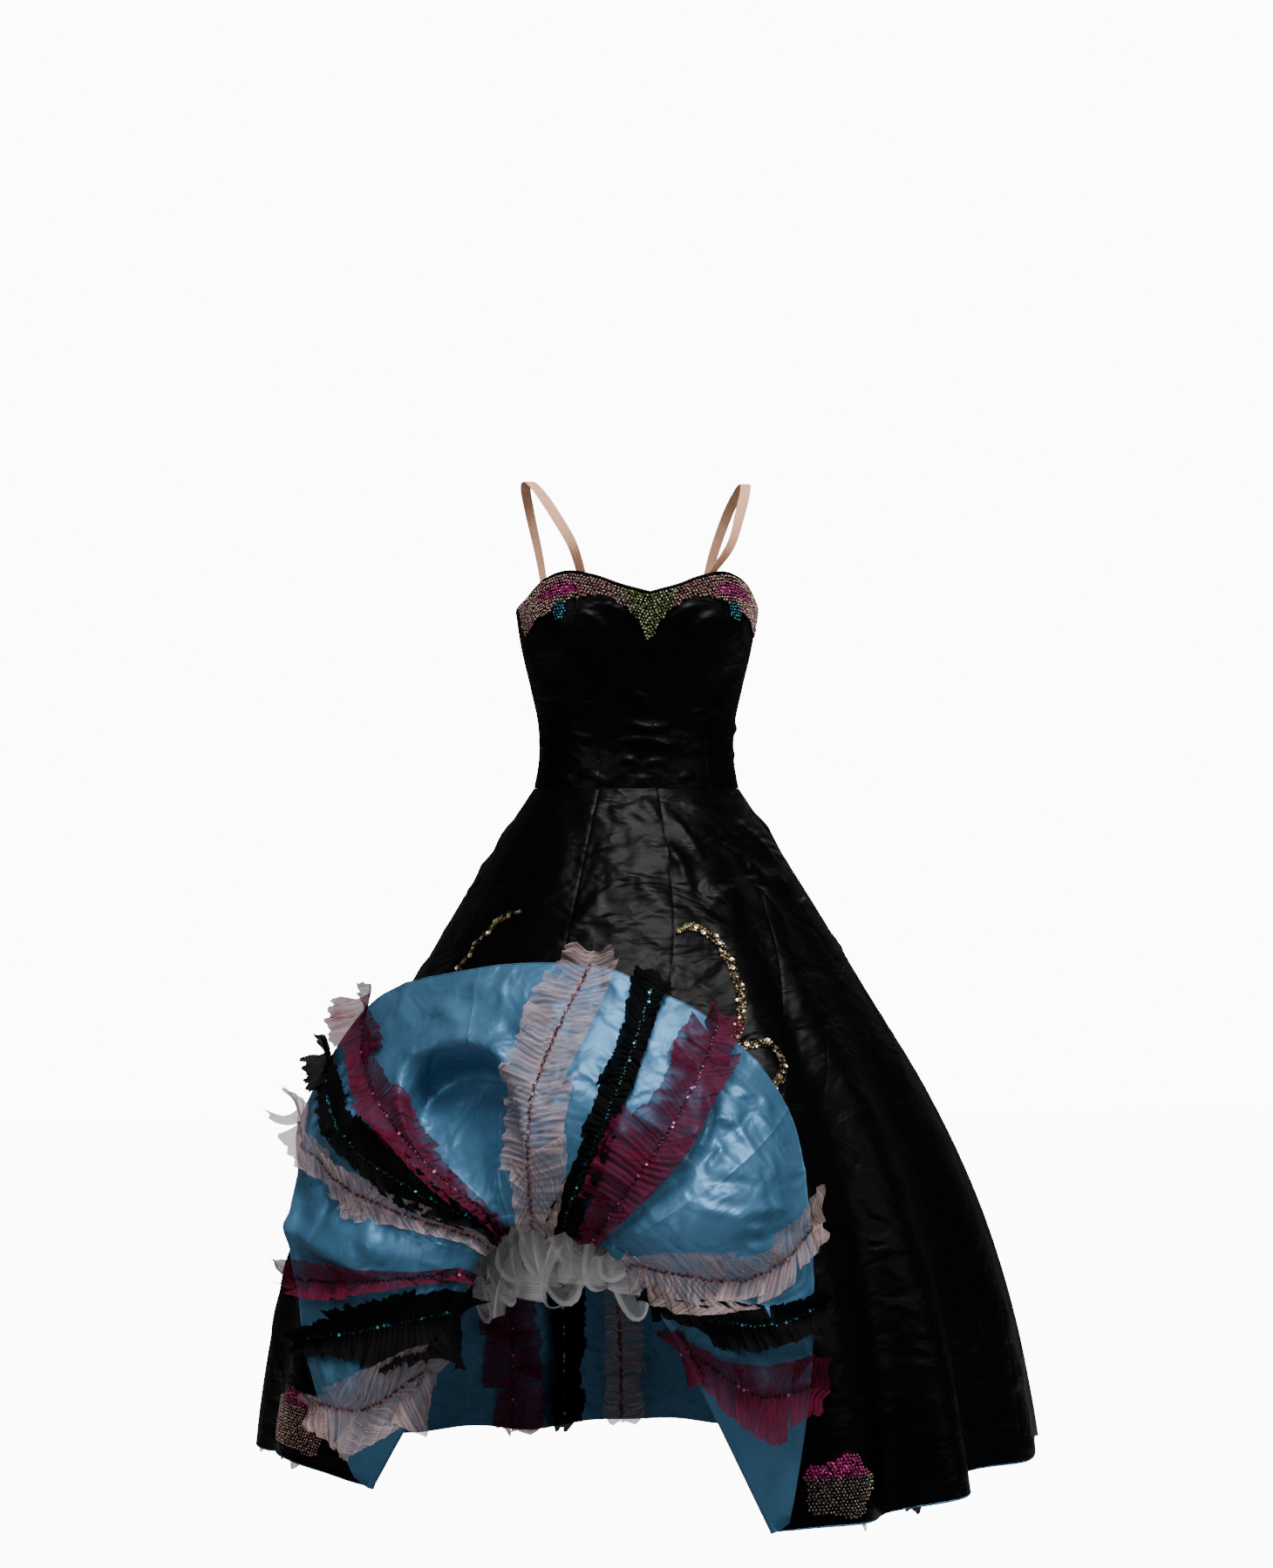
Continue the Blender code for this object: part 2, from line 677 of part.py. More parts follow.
def petticoat_skirt():
    """The plain upper part, sewn in at the waist seam under the lining."""
    angles = [360.0 * k / PETTICOAT_COLUMNS for k in range(PETTICOAT_COLUMNS)]
    outer, inner = [], []
    for depth, grid in ((0.0, outer), (PETTICOAT_WALL, inner)):
        inset = -(PETTICOAT_INSET + depth)
        grid.append([round_bell(a, SEAM_GAP / 2, inset) for a in angles])
        grid.extend([petticoat_point(a, cone.drop, -depth) for a in angles] for cone in PETTICOAT)
    wall("petticoat_skirt", outer, inner, GREY, 0.9, closed=True)


def petticoat_frill():
    """The frill, gathered on to the plain part's edge and waved more and more towards its own hem."""
    columns = FRILL_WAVES * 4
    last = PETTICOAT[-1]
    outer, inner = [], []
    for depth, grid in ((0.0, outer), (PETTICOAT_WALL, inner)):
        for r in range(FRILL_ROWS):
            share = r / (FRILL_ROWS - 1)
            line = []
            for k in range(columns):
                turn = 2 * math.pi * k / columns
                growth = mix(FRILL_WAVE_AT_TOP, 1.0, share) * math.sqrt(share)
                wave = FRILL_WAVE * growth * math.cos(FRILL_WAVES * turn)
                lift = FRILL_FLARE * share + wave - depth
                radius, ratio = last.radius + lift, last.depth_ratio
                drop = last.drop + SEAM_GAP + FRILL_DEPTH * share
                line.append(
                    Vector((radius * math.sin(turn), -radius * ratio * math.cos(turn), -drop))
                )
            grid.append(line)
    wall("petticoat_frill", outer, inner, GREY, 0.9, closed=True)


def main():
    for old in list(bpy.data.objects):
        bpy.data.objects.remove(old)
    for index in range(-GORES // 2, GORES // 2):
        skirt_gore(index)
        lining_gore(index)
        for kind in RUFFLES:
            ruffle(index, kind)
    for side in (-1, 1):
        for panel in BODICE_PANELS:
            bodice_panel(panel, side)
        strap(side)
    petticoat_skirt()
    petticoat_frill()


main()
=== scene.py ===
"""The looks of a can-can dress: black satin, a blue satin lining, net ruffles, sequins and beads.

Metres, +Z up, the dress faces -Y, and the origin is the centre of the waist seam. A place round the dress
is an angle in degrees from the centre front, positive towards +X, and a drop below the waist seam. Cloth is
counted in gores along the waist seam, and in rows down it: 0 to 1 falls, 1 to 2 goes round the turn of the
raised front, 2 to 3 comes back up to its hem. Every function of a place takes whole arrays of places.
"""

import math
import random
from collections import namedtuple

import bmesh
import bpy
import numpy as np
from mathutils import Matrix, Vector


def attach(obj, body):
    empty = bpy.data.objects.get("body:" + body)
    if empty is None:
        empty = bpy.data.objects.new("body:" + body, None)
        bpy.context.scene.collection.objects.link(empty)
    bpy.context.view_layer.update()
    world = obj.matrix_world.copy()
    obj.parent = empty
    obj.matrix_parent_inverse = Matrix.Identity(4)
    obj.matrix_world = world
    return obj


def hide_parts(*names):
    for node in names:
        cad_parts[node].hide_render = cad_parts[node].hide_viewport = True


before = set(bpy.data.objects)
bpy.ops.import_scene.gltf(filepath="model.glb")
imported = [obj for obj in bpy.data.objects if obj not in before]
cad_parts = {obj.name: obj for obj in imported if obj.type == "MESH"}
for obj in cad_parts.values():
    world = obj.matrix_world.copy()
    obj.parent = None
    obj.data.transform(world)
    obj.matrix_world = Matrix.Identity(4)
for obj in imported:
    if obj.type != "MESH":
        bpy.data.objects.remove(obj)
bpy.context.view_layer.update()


def table(fields, *rows):
    """Rows of values whose columns are read by name."""
    row = namedtuple("Row", fields)
    return tuple(row(*values) for values in rows)


# The cut and the worn form, as the solids have them
GORES = 10
SEAM_GAP = 0.0003
SATIN = 0.0012
LINING_DEPTH = SATIN + SEAM_GAP
STEP = 0.004
WIDE_STEP = 0.02
CENTRE_FRONT_TURN = 4.0
TOP_EDGE_TURN = -2.0
OVAL_LEAD = 3.2
LATE_DRAG = 2.5
EARLY_DRAG = 2.0
DRAG_CHANGE = 1.3
LIFTED = 2.0
RAISED_GORES = (-2, -1, 0, 1)
BACK_GORES = (-5, -4, 3, 4)
TURN_RADIUS = 0.010
TIP_RADIUS = 0.0035
FLAP_FOLD_LENGTH = 0.35
BILLOW_LEAN = 0.8

BELL = table(
    "drop radius depth_ratio",
    (0, 0.122, 0.8), (0.05, 0.155, 0.84), (0.12, 0.2, 0.9), (0.24, 0.272, 0.95), (0.36, 0.343, 0.98),
    (0.48, 0.398, 1), (0.6, 0.436, 1), (0.72, 0.46, 1), (0.84, 0.474, 1),
)
HEM = table(
    "gore angle drop",
    (2, 8.6, 0.808), (2.5, 34, 0.8), (3, 59, 0.775), (3.5, 84, 0.772), (4, 109, 0.792), (5, 160, 0.818),
    (6, 208, 0.822), (6.5, 234, 0.8), (7, 262, 0.768), (7.5, 287, 0.762), (8, 311, 0.772),
)
TURN_UP = table(
    "gore fold_angle fold_drop hem_angle hem_drop stand_off billow",
    (-2, -49, 0.772, -50.5, 0.762, 0.011, 0), (-1.75, -40.3, 0.641, -55.1, 0.681, 0.04, 0.008),
    (-1.35, -36.8, 0.539, -62.5, 0.552, 0.055, 0.015), (-1, -35.8, 0.515, -69.5, 0.445, 0.06, 0.02),
    (-0.75, -34.6, 0.501, -75.5, 0.38, 0.068, 0.026), (-0.35, -32.1, 0.479, -71, 0.251, 0.07, 0.034),
    (0, -29.9, 0.475, -42, 0.204, 0.078, 0.04), (0.25, -26, 0.474, -18.5, 0.199, 0.08, 0.036),
    (0.45, -20.5, 0.477, -6.8, 0.224, 0.078, 0.036), (0.65, -15.5, 0.491, 4.6, 0.264, 0.072, 0.042),
    (1, -12.8, 0.506, 14.6, 0.356, 0.062, 0.045), (1.25, -10, 0.524, 14.8, 0.482, 0.052, 0.036),
    (1.65, -2.5, 0.613, 12.6, 0.649, 0.04, 0.012), (2, 8.6, 0.808, 10.2, 0.798, 0.011, 0),
)
FOLDS = table(
    "angle half_width push growth",
    (-150, 7, 0.02, 1.6), (-134, 6, -0.022, 1.6), (-120, 6, 0.016, 1.6), (-99, 9, -0.085, 3),
    (-77, 5, -0.016, 1.8), (-67, 5.5, 0.012, 1.8), (19, 5.5, 0.028, 1.8), (28.5, 4.5, -0.024, 1.8),
    (37, 5.5, 0.03, 1.8), (49, 6, -0.034, 1.8), (62, 7, 0.014, 1.6), (81, 8, 0.01, 1.6),
    (96, 7, -0.022, 1.6), (111, 7, 0.022, 1.6), (128, 7, -0.022, 1.6), (144, 7, 0.02, 1.6),
    (159, 6, -0.024, 1.6), (175, 7, 0.022, 1.6), (192, 6, -0.022, 1.6),
)
FLAP_FOLDS = table(
    "gore half_width push centre",
    (-1.55, 0.12, -0.01, 0.5), (-1.15, 0.14, 0.014, 0.6), (-0.92, 0.1, -0.016, 0.6),
    (-0.55, 0.12, 0.012, 0.5), (-0.12, 0.16, -0.03, 0.42), (0.25, 0.12, 0.012, 0.4),
    (0.82, 0.12, -0.012, 0.35), (1.1, 0.14, 0.01, 0.6), (1.42, 0.1, -0.012, 0.6),
)
BODY = table(
    "height half_width front back",
    (0, 0.122, 0.0976, 0.0976), (0.035, 0.1165, 0.09, 0.086), (0.075, 0.1175, 0.09, 0.086),
    (0.12, 0.127, 0.096, 0.09), (0.165, 0.1375, 0.104, 0.095), (0.21, 0.144, 0.108, 0.098),
    (0.26, 0.146, 0.106, 0.096),
)
BODICE_WALL = 0.0015
CUP_ANGLE = 35.0
CUP_SPREAD = 21.0
CUP_HEIGHT = 0.188
CUP_RISE = 0.050
CUP_DEPTH = 0.022
BODICE_CREASE_GROWTH = 1.4
NECKLINE = table(
    "angle height",
    (0, 0.229), (13, 0.238), (24, 0.248), (38, 0.2536), (52, 0.245), (72, 0.221), (100, 0.206), (135, 0.19),
    (180, 0.182),
)
BODICE_PANELS = table(
    "name start end",
    ("front", 0, 1), ("side", 1, 2.5), ("back", 2.5, 5),
)
STRAP_WIDTH = 0.0124
STRAP_WALL = 0.0012
STRAP_FRONT_GORE = 0.96
STRAP_BACK_GORE = 3.8
STRAP_END_HALF_GORE = 0.072
STRAP_OVER_SHOULDER = table(
    "out back up turn",
    (0.094, -0.101, 0.284, 30), (0.11, -0.073, 0.32, 22), (0.123, -0.04, 0.348, 12),
    (0.13, -0.006, 0.3615, 0), (0.129, 0.026, 0.355, -12), (0.119, 0.054, 0.325, -24),
    (0.105, 0.072, 0.275, -34), (0.096, 0.077, 0.225, -42),
)
PETTICOAT = table(
    "drop radius depth_ratio",
    (0.04, 0.136, 0.84), (0.14, 0.19, 0.9), (0.3, 0.262, 0.96), (0.44, 0.322, 1),
)
PETTICOAT_INSET = 0.0031
PETTICOAT_EASE = 0.004

# How finely the cloth is drawn
GORE_COLUMNS = 34
BACK_COLUMNS = 28
LINING_COLUMNS = 72
SEAM_COLUMNS = (0.0, 0.006, 0.018)
TURN_ROWS = 8
SHELL_ROWS = (84, 24)
LINING_ROWS = (54, 66)
LINING_EASE = 0.0012
SHELL_EASE = 0.0100
THIN = 0.0006
UP = np.array((0.0, 0.0, 1.0))


def read(rows, key, field, at):
    """A column of a table, read on a smooth curve through its rows."""
    keys = np.array([getattr(row, key) for row in rows], float)
    values = np.array([getattr(row, field) for row in rows], float)
    places = np.arange(len(keys))
    before, after = np.maximum(places - 1, 0), np.minimum(places + 1, len(keys) - 1)
    slopes = (values[after] - values[before]) / (keys[after] - keys[before])
    at = np.clip(at, keys[0], keys[-1])
    i = np.clip(np.searchsorted(keys, at, side="right") - 1, 0, len(keys) - 2)
    span = keys[i + 1] - keys[i]
    t = (at - keys[i]) / span
    return (
        values[i] * (1 + 2 * t) * (1 - t) ** 2
        + values[i + 1] * t * t * (3 - 2 * t)
        + slopes[i] * span * t * (1 - t) ** 2
        - slopes[i + 1] * span * t * t * (1 - t)
    )


def mix(start, end, share):
    return start + (end - start) * share


def ramp(past, length):
    """0 until something is passed, and 1 from a length past it."""
    return np.clip(past / length, 0.0, 1.0)


def bump(distance, half_width):
    return np.exp(-((distance / half_width) ** 2))


def wrapped(angle):
    return (angle + 180.0) % 360.0 - 180.0


def unit(ways):
    return ways / np.maximum(np.linalg.norm(ways, axis=-1, keepdims=True), 1e-9)


def dot(a, b):
    return (a * b).sum(-1, keepdims=True)


def on_form(rows, angle, drop, lift):
    """A point on the round form that a table gives, moved out from the axis by the lift."""
    radius = read(rows, "drop", "radius", drop)
    ratio = read(rows, "drop", "depth_ratio", drop)
    turn = np.radians(angle)
    return np.stack([(radius + lift) * np.sin(turn), -(radius * ratio + lift) * np.cos(turn), -drop], -1)


def waist_angle(gore):
    """Equal lengths of an oval waist seam take less angle in front than at the sides."""
    half = GORES / 2
    return CENTRE_FRONT_TURN + 180.0 / half * gore - OVAL_LEAD * np.sin(2 * math.pi * gore / half)


def cloth_end(gore):
    """Angle and drop where the cloth stops falling: the turn in the raised front, and elsewhere the hem."""
    raised = np.abs(gore) <= LIFTED
    round_to = np.where(gore > 0, gore, gore + GORES)
    hem_angle = read(HEM, "gore", "angle", round_to) - np.where(gore > 0, 0.0, 360.0)
    angle = np.where(raised, read(TURN_UP, "gore", "fold_angle", gore), hem_angle)
    drop = np.where(raised, read(TURN_UP, "gore", "fold_drop", gore), read(HEM, "gore", "drop", round_to))
    return angle, drop


def drag(gore, share):
    """How far cloth has gone round towards its end: late in the raised front, and early where it hangs."""
    past_front = np.clip(np.maximum(gore - 1.0, -LIFTED - gore), 0.0, 1.0)
    return mix(share**LATE_DRAG, 1 - (1 - share) ** EARLY_DRAG, past_front**DRAG_CHANGE)


def falling(gore, share):
    """The cloth between the waist seam and its end, dragged round towards the raised front."""
    gore, share = np.broadcast_arrays(np.asarray(gore, float), share)
    end_angle, end_drop = cloth_end(gore)
    angle = mix(waist_angle(gore), end_angle, drag(gore, share))
    push = 0.0
    for fold in FOLDS:
        push = push + fold.push * bump(wrapped(angle - fold.angle), fold.half_width) * share**fold.growth
    return on_form(BELL, angle, end_drop * share + SEAM_GAP / 2, push)


def turn_radius(gore):
    return mix(TURN_RADIUS, TIP_RADIUS, (np.abs(gore) / LIFTED) ** 4)


def turning(gore, share):
    """Round the turn, a half circle whose inside is the black face."""
    low, high = np.maximum(gore - WIDE_STEP, -LIFTED), np.minimum(gore + WIDE_STEP, LIFTED)
    point = falling(gore, 1.0)
    line = unit(falling(high, 1.0) - falling(low, 1.0))
    down = point - falling(gore, 1.0 - WIDE_STEP)
    out = unit(np.cross(down, line))
    out = out * np.where(dot(out, point * (1, 1, 0)) < 0, -1, 1)
    onwards = unit(np.cross(out, line))
    onwards = onwards * np.where(dot(onwards, down) < 0, -1, 1)
    radius = turn_radius(gore)[..., None]
    around = math.pi * share[..., None]
    return point + out * radius * (1 - np.cos(around)) + onwards * radius * np.sin(around)


def flap(gore, share):
    """The cloth turned back over the skirt, from the turn to the raised hem."""
    start = turning(gore, np.ones_like(gore))
    fold_angle, fold_drop = cloth_end(gore)
    hem_angle = read(TURN_UP, "gore", "hem_angle", gore)
    hem_drop = read(TURN_UP, "gore", "hem_drop", gore)
    billow = read(TURN_UP, "gore", "billow", gore)
    for fold in FLAP_FOLDS:
        push = fold.push * bump(gore - fold.gore, fold.half_width)
        billow = billow + push * bump(share - fold.centre, FLAP_FOLD_LENGTH)
    lift = mix(2 * turn_radius(gore), read(TURN_UP, "gore", "stand_off", gore), share)
    angle, drop = mix(fold_angle, hem_angle, share), mix(fold_drop, hem_drop, share)
    resting = on_form(BELL, angle, drop, lift + billow * np.sin(math.pi * share**BILLOW_LEAN))
    first = on_form(BELL, fold_angle, fold_drop, 2 * turn_radius(gore))
    return resting + (start - first) * (1 - share[..., None]) ** 3


def skirt(gore, row):
    """The black face of the skirt."""
    gore, row = np.broadcast_arrays(np.asarray(gore, float), np.asarray(row, float))
    points = np.empty((*gore.shape, 3))
    for band, first, wanted in (
        (falling, 0, row <= 1),
        (turning, 1, (row > 1) & (row <= 2)),
        (flap, 2, row > 2),
    ):
        if wanted.any():
            points[wanted] = band(gore[wanted], row[wanted] - first)
    return points


def skirt_normal(gore, row, last_row):
    """The way out of the black face."""
    down = skirt(gore, np.minimum(row + STEP, last_row)) - skirt(gore, np.maximum(row - STEP, 0.0))
    left, right = gore - STEP, gore + STEP
    if last_row > 1:
        left, right = np.maximum(left, -LIFTED), np.minimum(right, LIFTED)
    return unit(np.cross(down, skirt(right, row) - skirt(left, row)))


def seam_angle(gore, height):
    """Where a line of the bodice stands, turned a little from the waist to the top edge."""
    return waist_angle(gore) + (TOP_EDGE_TURN - CENTRE_FRONT_TURN) * height / BODY[-1].height


def bodice_point(angle, height):
    turn = np.radians(angle)
    half_width = read(BODY, "height", "half_width", height)
    front, back = (read(BODY, "height", side, height) for side in ("front", "back"))
    depth = np.where(np.cos(turn) > 0, front, back)
    rise = (height - CUP_HEIGHT) / CUP_RISE
    cups = 0.0
    for side in (-1, 1):
        spread = (angle - TOP_EDGE_TURN - side * CUP_ANGLE) / CUP_SPREAD
        cups = cups + CUP_DEPTH * np.exp(-spread * spread - rise * rise)
    sideways, forwards = (half_width + cups) * np.sin(turn), (depth + cups) * np.cos(turn)
    return np.stack([sideways, -forwards, height + 0 * turn], -1)


def neck_height(angle):
    return read(NECKLINE, "angle", "height", np.abs(wrapped(angle - TOP_EDGE_TURN)))


def bodice_surface(gore, share):
    """Share 0 is the top edge and 1 the waist seam."""
    height = neck_height(seam_angle(gore, BODY[-1].height)) * (1 - share) + SEAM_GAP / 2
    return bodice_point(seam_angle(gore, height), height)


def bodice_normal(gore, share):
    lower, upper = np.minimum(share + STEP, 1.0), np.maximum(share - STEP, 0.0)
    down = bodice_surface(gore, lower) - bodice_surface(gore, upper)
    return unit(np.cross(down, bodice_surface(gore + STEP, share) - bodice_surface(gore - STEP, share)))


# Creases laid one by one: each runs from one place to another, bowed sideways by the bend.
CREASE = "angle drop to_angle to_drop bend width push"
FALL_CREASES = table(
    CREASE,
    (8, 0.03, 20, 0.085, 0.006, 0.006, 0.003), (-8, 0.02, 3, 0.032, 0.004, 0.005, 0.0026),
    (-26, 0.022, -12, 0.034, -0.004, 0.006, 0.003), (-44, 0.03, -24, 0.044, 0.005, 0.006, 0.0028),
    (22, 0.024, 40, 0.048, 0.006, 0.006, 0.0028), (46, 0.04, 64, 0.09, 0.008, 0.007, 0.003),
    (-30, 0.075, -16, 0.09, 0.004, 0.009, 0.003), (2, 0.06, 10, 0.12, 0.008, 0.009, 0.0036),
    (-10, 0.105, 2, 0.125, -0.006, 0.01, 0.0036), (14, 0.115, 26, 0.15, 0.01, 0.01, 0.004),
    (-22, 0.12, -34, 0.165, 0.006, 0.011, 0.0034), (30, 0.105, 44, 0.17, 0.014, 0.01, 0.004),
)
FLAP_CREASES = table(
    CREASE,
    (1, 0.322, -3, 0.418, 0.009, 0.006, 0.0075), (-57, 0.35, -35, 0.47, -0.012, 0.007, 0.009),
    (-60, 0.372, -40, 0.478, -0.014, 0.008, -0.006), (1.3, 0.357, 5.4, 0.366, -0.003, 0.0042, 0.0042),
    (5, 0.362, 7.6, 0.404, -0.004, 0.0042, 0.0042), (2.6, 0.386, -0.6, 0.418, 0.003, 0.0042, 0.0036),
    (8.4, 0.355, 13.6, 0.39, -0.006, 0.005, 0.0044), (5, 0.33, 9, 0.35, 0.003, 0.0044, 0.0034),
    (9, 0.395, 12, 0.44, -0.005, 0.005, 0.0036), (-1, 0.43, 7, 0.436, 0.005, 0.006, -0.0044),
    (-4, 0.446, 4, 0.462, -0.004, 0.005, 0.0036), (1, 0.47, 12, 0.462, 0.006, 0.006, 0.004),
    (4, 0.492, 13, 0.486, 0.003, 0.006, -0.0034), (-45, 0.222, -33, 0.244, 0.006, 0.009, 0.005),
    (-52, 0.246, -40, 0.276, 0.006, 0.01, 0.0056), (-34, 0.252, -27, 0.29, -0.006, 0.006, -0.0046),
    (-30, 0.3, -24, 0.372, 0.005, 0.006, 0.0044), (-22, 0.33, -25, 0.43, 0.004, 0.006, 0.005),
    (-64, 0.33, -57, 0.4, 0.006, 0.006, 0.005), (-70, 0.372, -66, 0.452, 0.006, 0.008, 0.008),
    (-66, 0.404, -58, 0.5, 0.008, 0.008, -0.007), (-72, 0.44, -62, 0.56, 0.01, 0.01, 0.009),
    (-56, 0.44, -48, 0.52, 0.006, 0.008, 0.006), (-60, 0.58, -52, 0.7, 0.006, 0.009, 0.006),
    (-50, 0.62, -48, 0.74, 0.004, 0.008, -0.005), (4, 0.6, 8, 0.72, 0.005, 0.01, 0.005),
    (-8, 0.575, 12.5, 0.596, 0.01, 0.013, 0.013), (-70, 0.5, -48, 0.54, 0.01, 0.012, 0.011),
)
# The hollow in the raised cloth: its rim is crisp above and rounds down at its sides.
Hollow = namedtuple("Hollow", "gore half_width rim_row arch rim_width end_row depth roll")
FLAP_HOLLOW = Hollow(-0.07, 0.25, 2.665, 0.34, 0.055, 2.00, 0.046, 0.006)
BODICE_CREASES = table(
    CREASE,
    (-53, -0.104, -38, -0.092, 0.003, 0.0042, 0.0024), (-11, -0.11, -1, -0.101, 0.001, 0.0036, 0.0022),
    (-20, -0.08, 16, -0.072, -0.006, 0.0056, 0.003), (-26, -0.052, 26, -0.046, 0.007, 0.005, 0.0032),
    (0, -0.052, 24, -0.056, -0.003, 0.004, 0.0022), (-24, -0.033, -8, -0.029, 0.002, 0.0036, 0.0018),
    (-6, -0.028, 14, -0.031, 0.002, 0.0034, 0.0018), (-50, -0.017, -32, -0.01, 0.002, 0.0044, 0.0024),
    (-66, -0.01, -54, -0.014, 0.001, 0.004, 0.002), (28, -0.086, 50, -0.094, -0.003, 0.0044, 0.0024),
    (34, -0.046, 54, -0.052, -0.002, 0.0044, 0.0022), (20, -0.01, 34, -0.016, 0.002, 0.004, 0.002),
    (60, -0.03, 84, -0.04, 0.003, 0.005, 0.0022), (-70, -0.05, -92, -0.058, 0.003, 0.005, 0.0024),
    (66, -0.07, 96, -0.078, -0.004, 0.0056, 0.0024), (104, -0.034, 132, -0.044, 0.004, 0.0054, 0.0026),
    (-110, -0.03, -138, -0.036, -0.004, 0.0054, 0.0026), (142, -0.06, 172, -0.052, 0.004, 0.0056, 0.0026),
    (-148, -0.064, -176, -0.074, 0.004, 0.0056, 0.0024), (120, -0.09, 150, -0.098, -0.003, 0.0056, 0.0022),
    (-118, -0.096, -142, -0.088, 0.003, 0.0056, 0.0022), (-30, -0.214, -14, -0.196, 0.004, 0.005, 0.0026),
    (-40, -0.206, -26, -0.18, 0.004, 0.005, 0.0024), (-20, -0.222, -8, -0.19, 0.003, 0.0046, 0.0022),
    (26, -0.214, 10, -0.192, -0.004, 0.005, 0.0026), (36, -0.206, 22, -0.18, -0.004, 0.005, 0.0024),
)

CREASE_REACH = 3.0
CREASE_TAPER = 0.8


def crease_relief(points, creases, metres_a_degree):
    """How far the creases lift each point off its smooth face."""
    angle = np.degrees(np.arctan2(points[..., 0], -points[..., 1]))
    drop = -points[..., 2]
    relief = np.zeros(points.shape[:-1])
    for crease in creases:
        middle_drop = 0.5 * (crease.drop + crease.to_drop)
        middle_angle = 0.5 * (crease.angle + crease.to_angle)
        reach = metres_a_degree(middle_drop)
        run = np.array([(crease.to_angle - crease.angle) * reach, crease.to_drop - crease.drop])
        length = np.linalg.norm(run)
        margin = 0.5 * length + abs(crease.bend) + CREASE_REACH * crease.width
        near = np.abs(drop - middle_drop) < margin
        near &= np.abs(wrapped(angle - middle_angle)) * reach < margin
        if not near.any():
            continue
        way = run / length
        x, y = wrapped(angle[near] - crease.angle) * reach, drop[near] - crease.drop
        inside = np.clip((x * way[0] + y * way[1]) / length, 0.0, 1.0)
        off = x * way[1] - y * way[0] - crease.bend * 4 * inside * (1 - inside)
        taper = np.sin(math.pi * inside) ** CREASE_TAPER
        relief[near] += crease.push * bump(off, crease.width) * taper
    return relief


def bell_metres_a_degree(drop):
    return float(read(BELL, "drop", "radius", drop)) * math.pi / 180


def body_metres_a_degree(drop):
    return float(read(BODY, "height", "half_width", -drop)) * math.pi / 180


# How much the strewn creases differ from one to the next, as shares of their usual size, and their turn
STREWN_LENGTHS = (0.5, 1.5)
STREWN_WIDTHS = (0.6, 1.5)
STREWN_PUSHES = (0.4, 1.3)
STREWN_BENDS = (-0.16, 0.16)
STREWN_TURN = 28.0


def scattered_creases(seed, count, angles, drops, length, lean, width, push):
    """Small creases strewn over a stretch of cloth, each turned about the lean in degrees."""
    draw = random.Random(seed)
    made = []
    for _ in range(count):
        angle, drop = draw.uniform(*angles), draw.uniform(*drops)
        run = length * draw.uniform(*STREWN_LENGTHS)
        turn = math.radians(lean + draw.gauss(0.0, STREWN_TURN))
        to_angle = angle + run * math.cos(turn) / bell_metres_a_degree(drop)
        to_drop = drop + run * math.sin(turn)
        bend = run * draw.uniform(*STREWN_BENDS)
        size = draw.uniform(*STREWN_WIDTHS)
        made.append((angle, drop, to_angle, to_drop, bend, width * size, push * draw.uniform(*STREWN_PUSHES)))
    return table(CREASE, *made)


UPPER_SKIRT_CREASES = scattered_creases(3, 90, (-180.0, 180.0), (0.02, 0.20), 0.045, 15.0, 0.006, 0.0022)
SKIRT_CREASES = scattered_creases(5, 90, (-180.0, 180.0), (0.18, 0.70), 0.090, 70.0, 0.012, 0.0028)
LINING_CREASES = scattered_creases(8, 140, (-75.0, 20.0), (0.20, 0.66), 0.040, 55.0, 0.006, 0.0026)

RIM_CRISPNESS = 5
RIM_CRISPNESS_LIMIT = 30
HOLLOW_FADE_ROWS = 0.60


def hollow_relief(gore, row):
    """How deep the raised cloth is drawn in, and the roll along the rim."""
    across = (gore - FLAP_HOLLOW.gore) / FLAP_HOLLOW.half_width
    rim = FLAP_HOLLOW.rim_row - FLAP_HOLLOW.arch * np.abs(across) ** 3
    over_rim = (row - rim) * RIM_CRISPNESS / FLAP_HOLLOW.rim_width
    inside = 1 / (1 + np.exp(np.clip(over_rim, -RIM_CRISPNESS_LIMIT, RIM_CRISPNESS_LIMIT)))
    between_sides = np.exp(-np.abs(across) ** 6)
    inside = inside * ramp(row - FLAP_HOLLOW.end_row, HOLLOW_FADE_ROWS) * between_sides
    roll = bump(row - rim - FLAP_HOLLOW.rim_width, FLAP_HOLLOW.rim_width) * between_sides
    return FLAP_HOLLOW.depth * inside - FLAP_HOLLOW.roll * roll


BREADTH_STEP = 0.01


def gore_metres(gore, row):
    """How many metres of cloth a gore's breadth takes at a row."""
    last = np.where(row > 1, LIFTED, GORES)
    low, high = np.maximum(gore - BREADTH_STEP, -last), np.minimum(gore + BREADTH_STEP, last)
    return np.linalg.norm(skirt(high, row) - skirt(low, row), axis=-1) / (high - low)


SEAM_GROOVE = 0.0006
SEAM_GROOVE_HALF_WIDTH = 0.0018
SEAM_METRES_A_ROW = 0.6
PUCKER_HEIGHT = 0.0004
PUCKER_LENGTH = 0.0021
PUCKER_SHIFT = 5.0
PUCKER_OFF_SEAM = 0.006
PUCKER_HALF_WIDTH = 0.009


def seam_relief(gore, row):
    """A shallow groove on each seam, and the puckers that the sewing draws in beside it."""
    seam = np.round(gore)
    off = np.abs(gore - seam) * gore_metres(gore, row)
    puckers = PUCKER_HEIGHT * np.sin(row * SEAM_METRES_A_ROW / PUCKER_LENGTH + PUCKER_SHIFT * seam)
    puckers = puckers * bump(off - PUCKER_OFF_SEAM, PUCKER_HALF_WIDTH)
    return -SEAM_GROOVE * bump(off, SEAM_GROOVE_HALF_WIDTH) + puckers


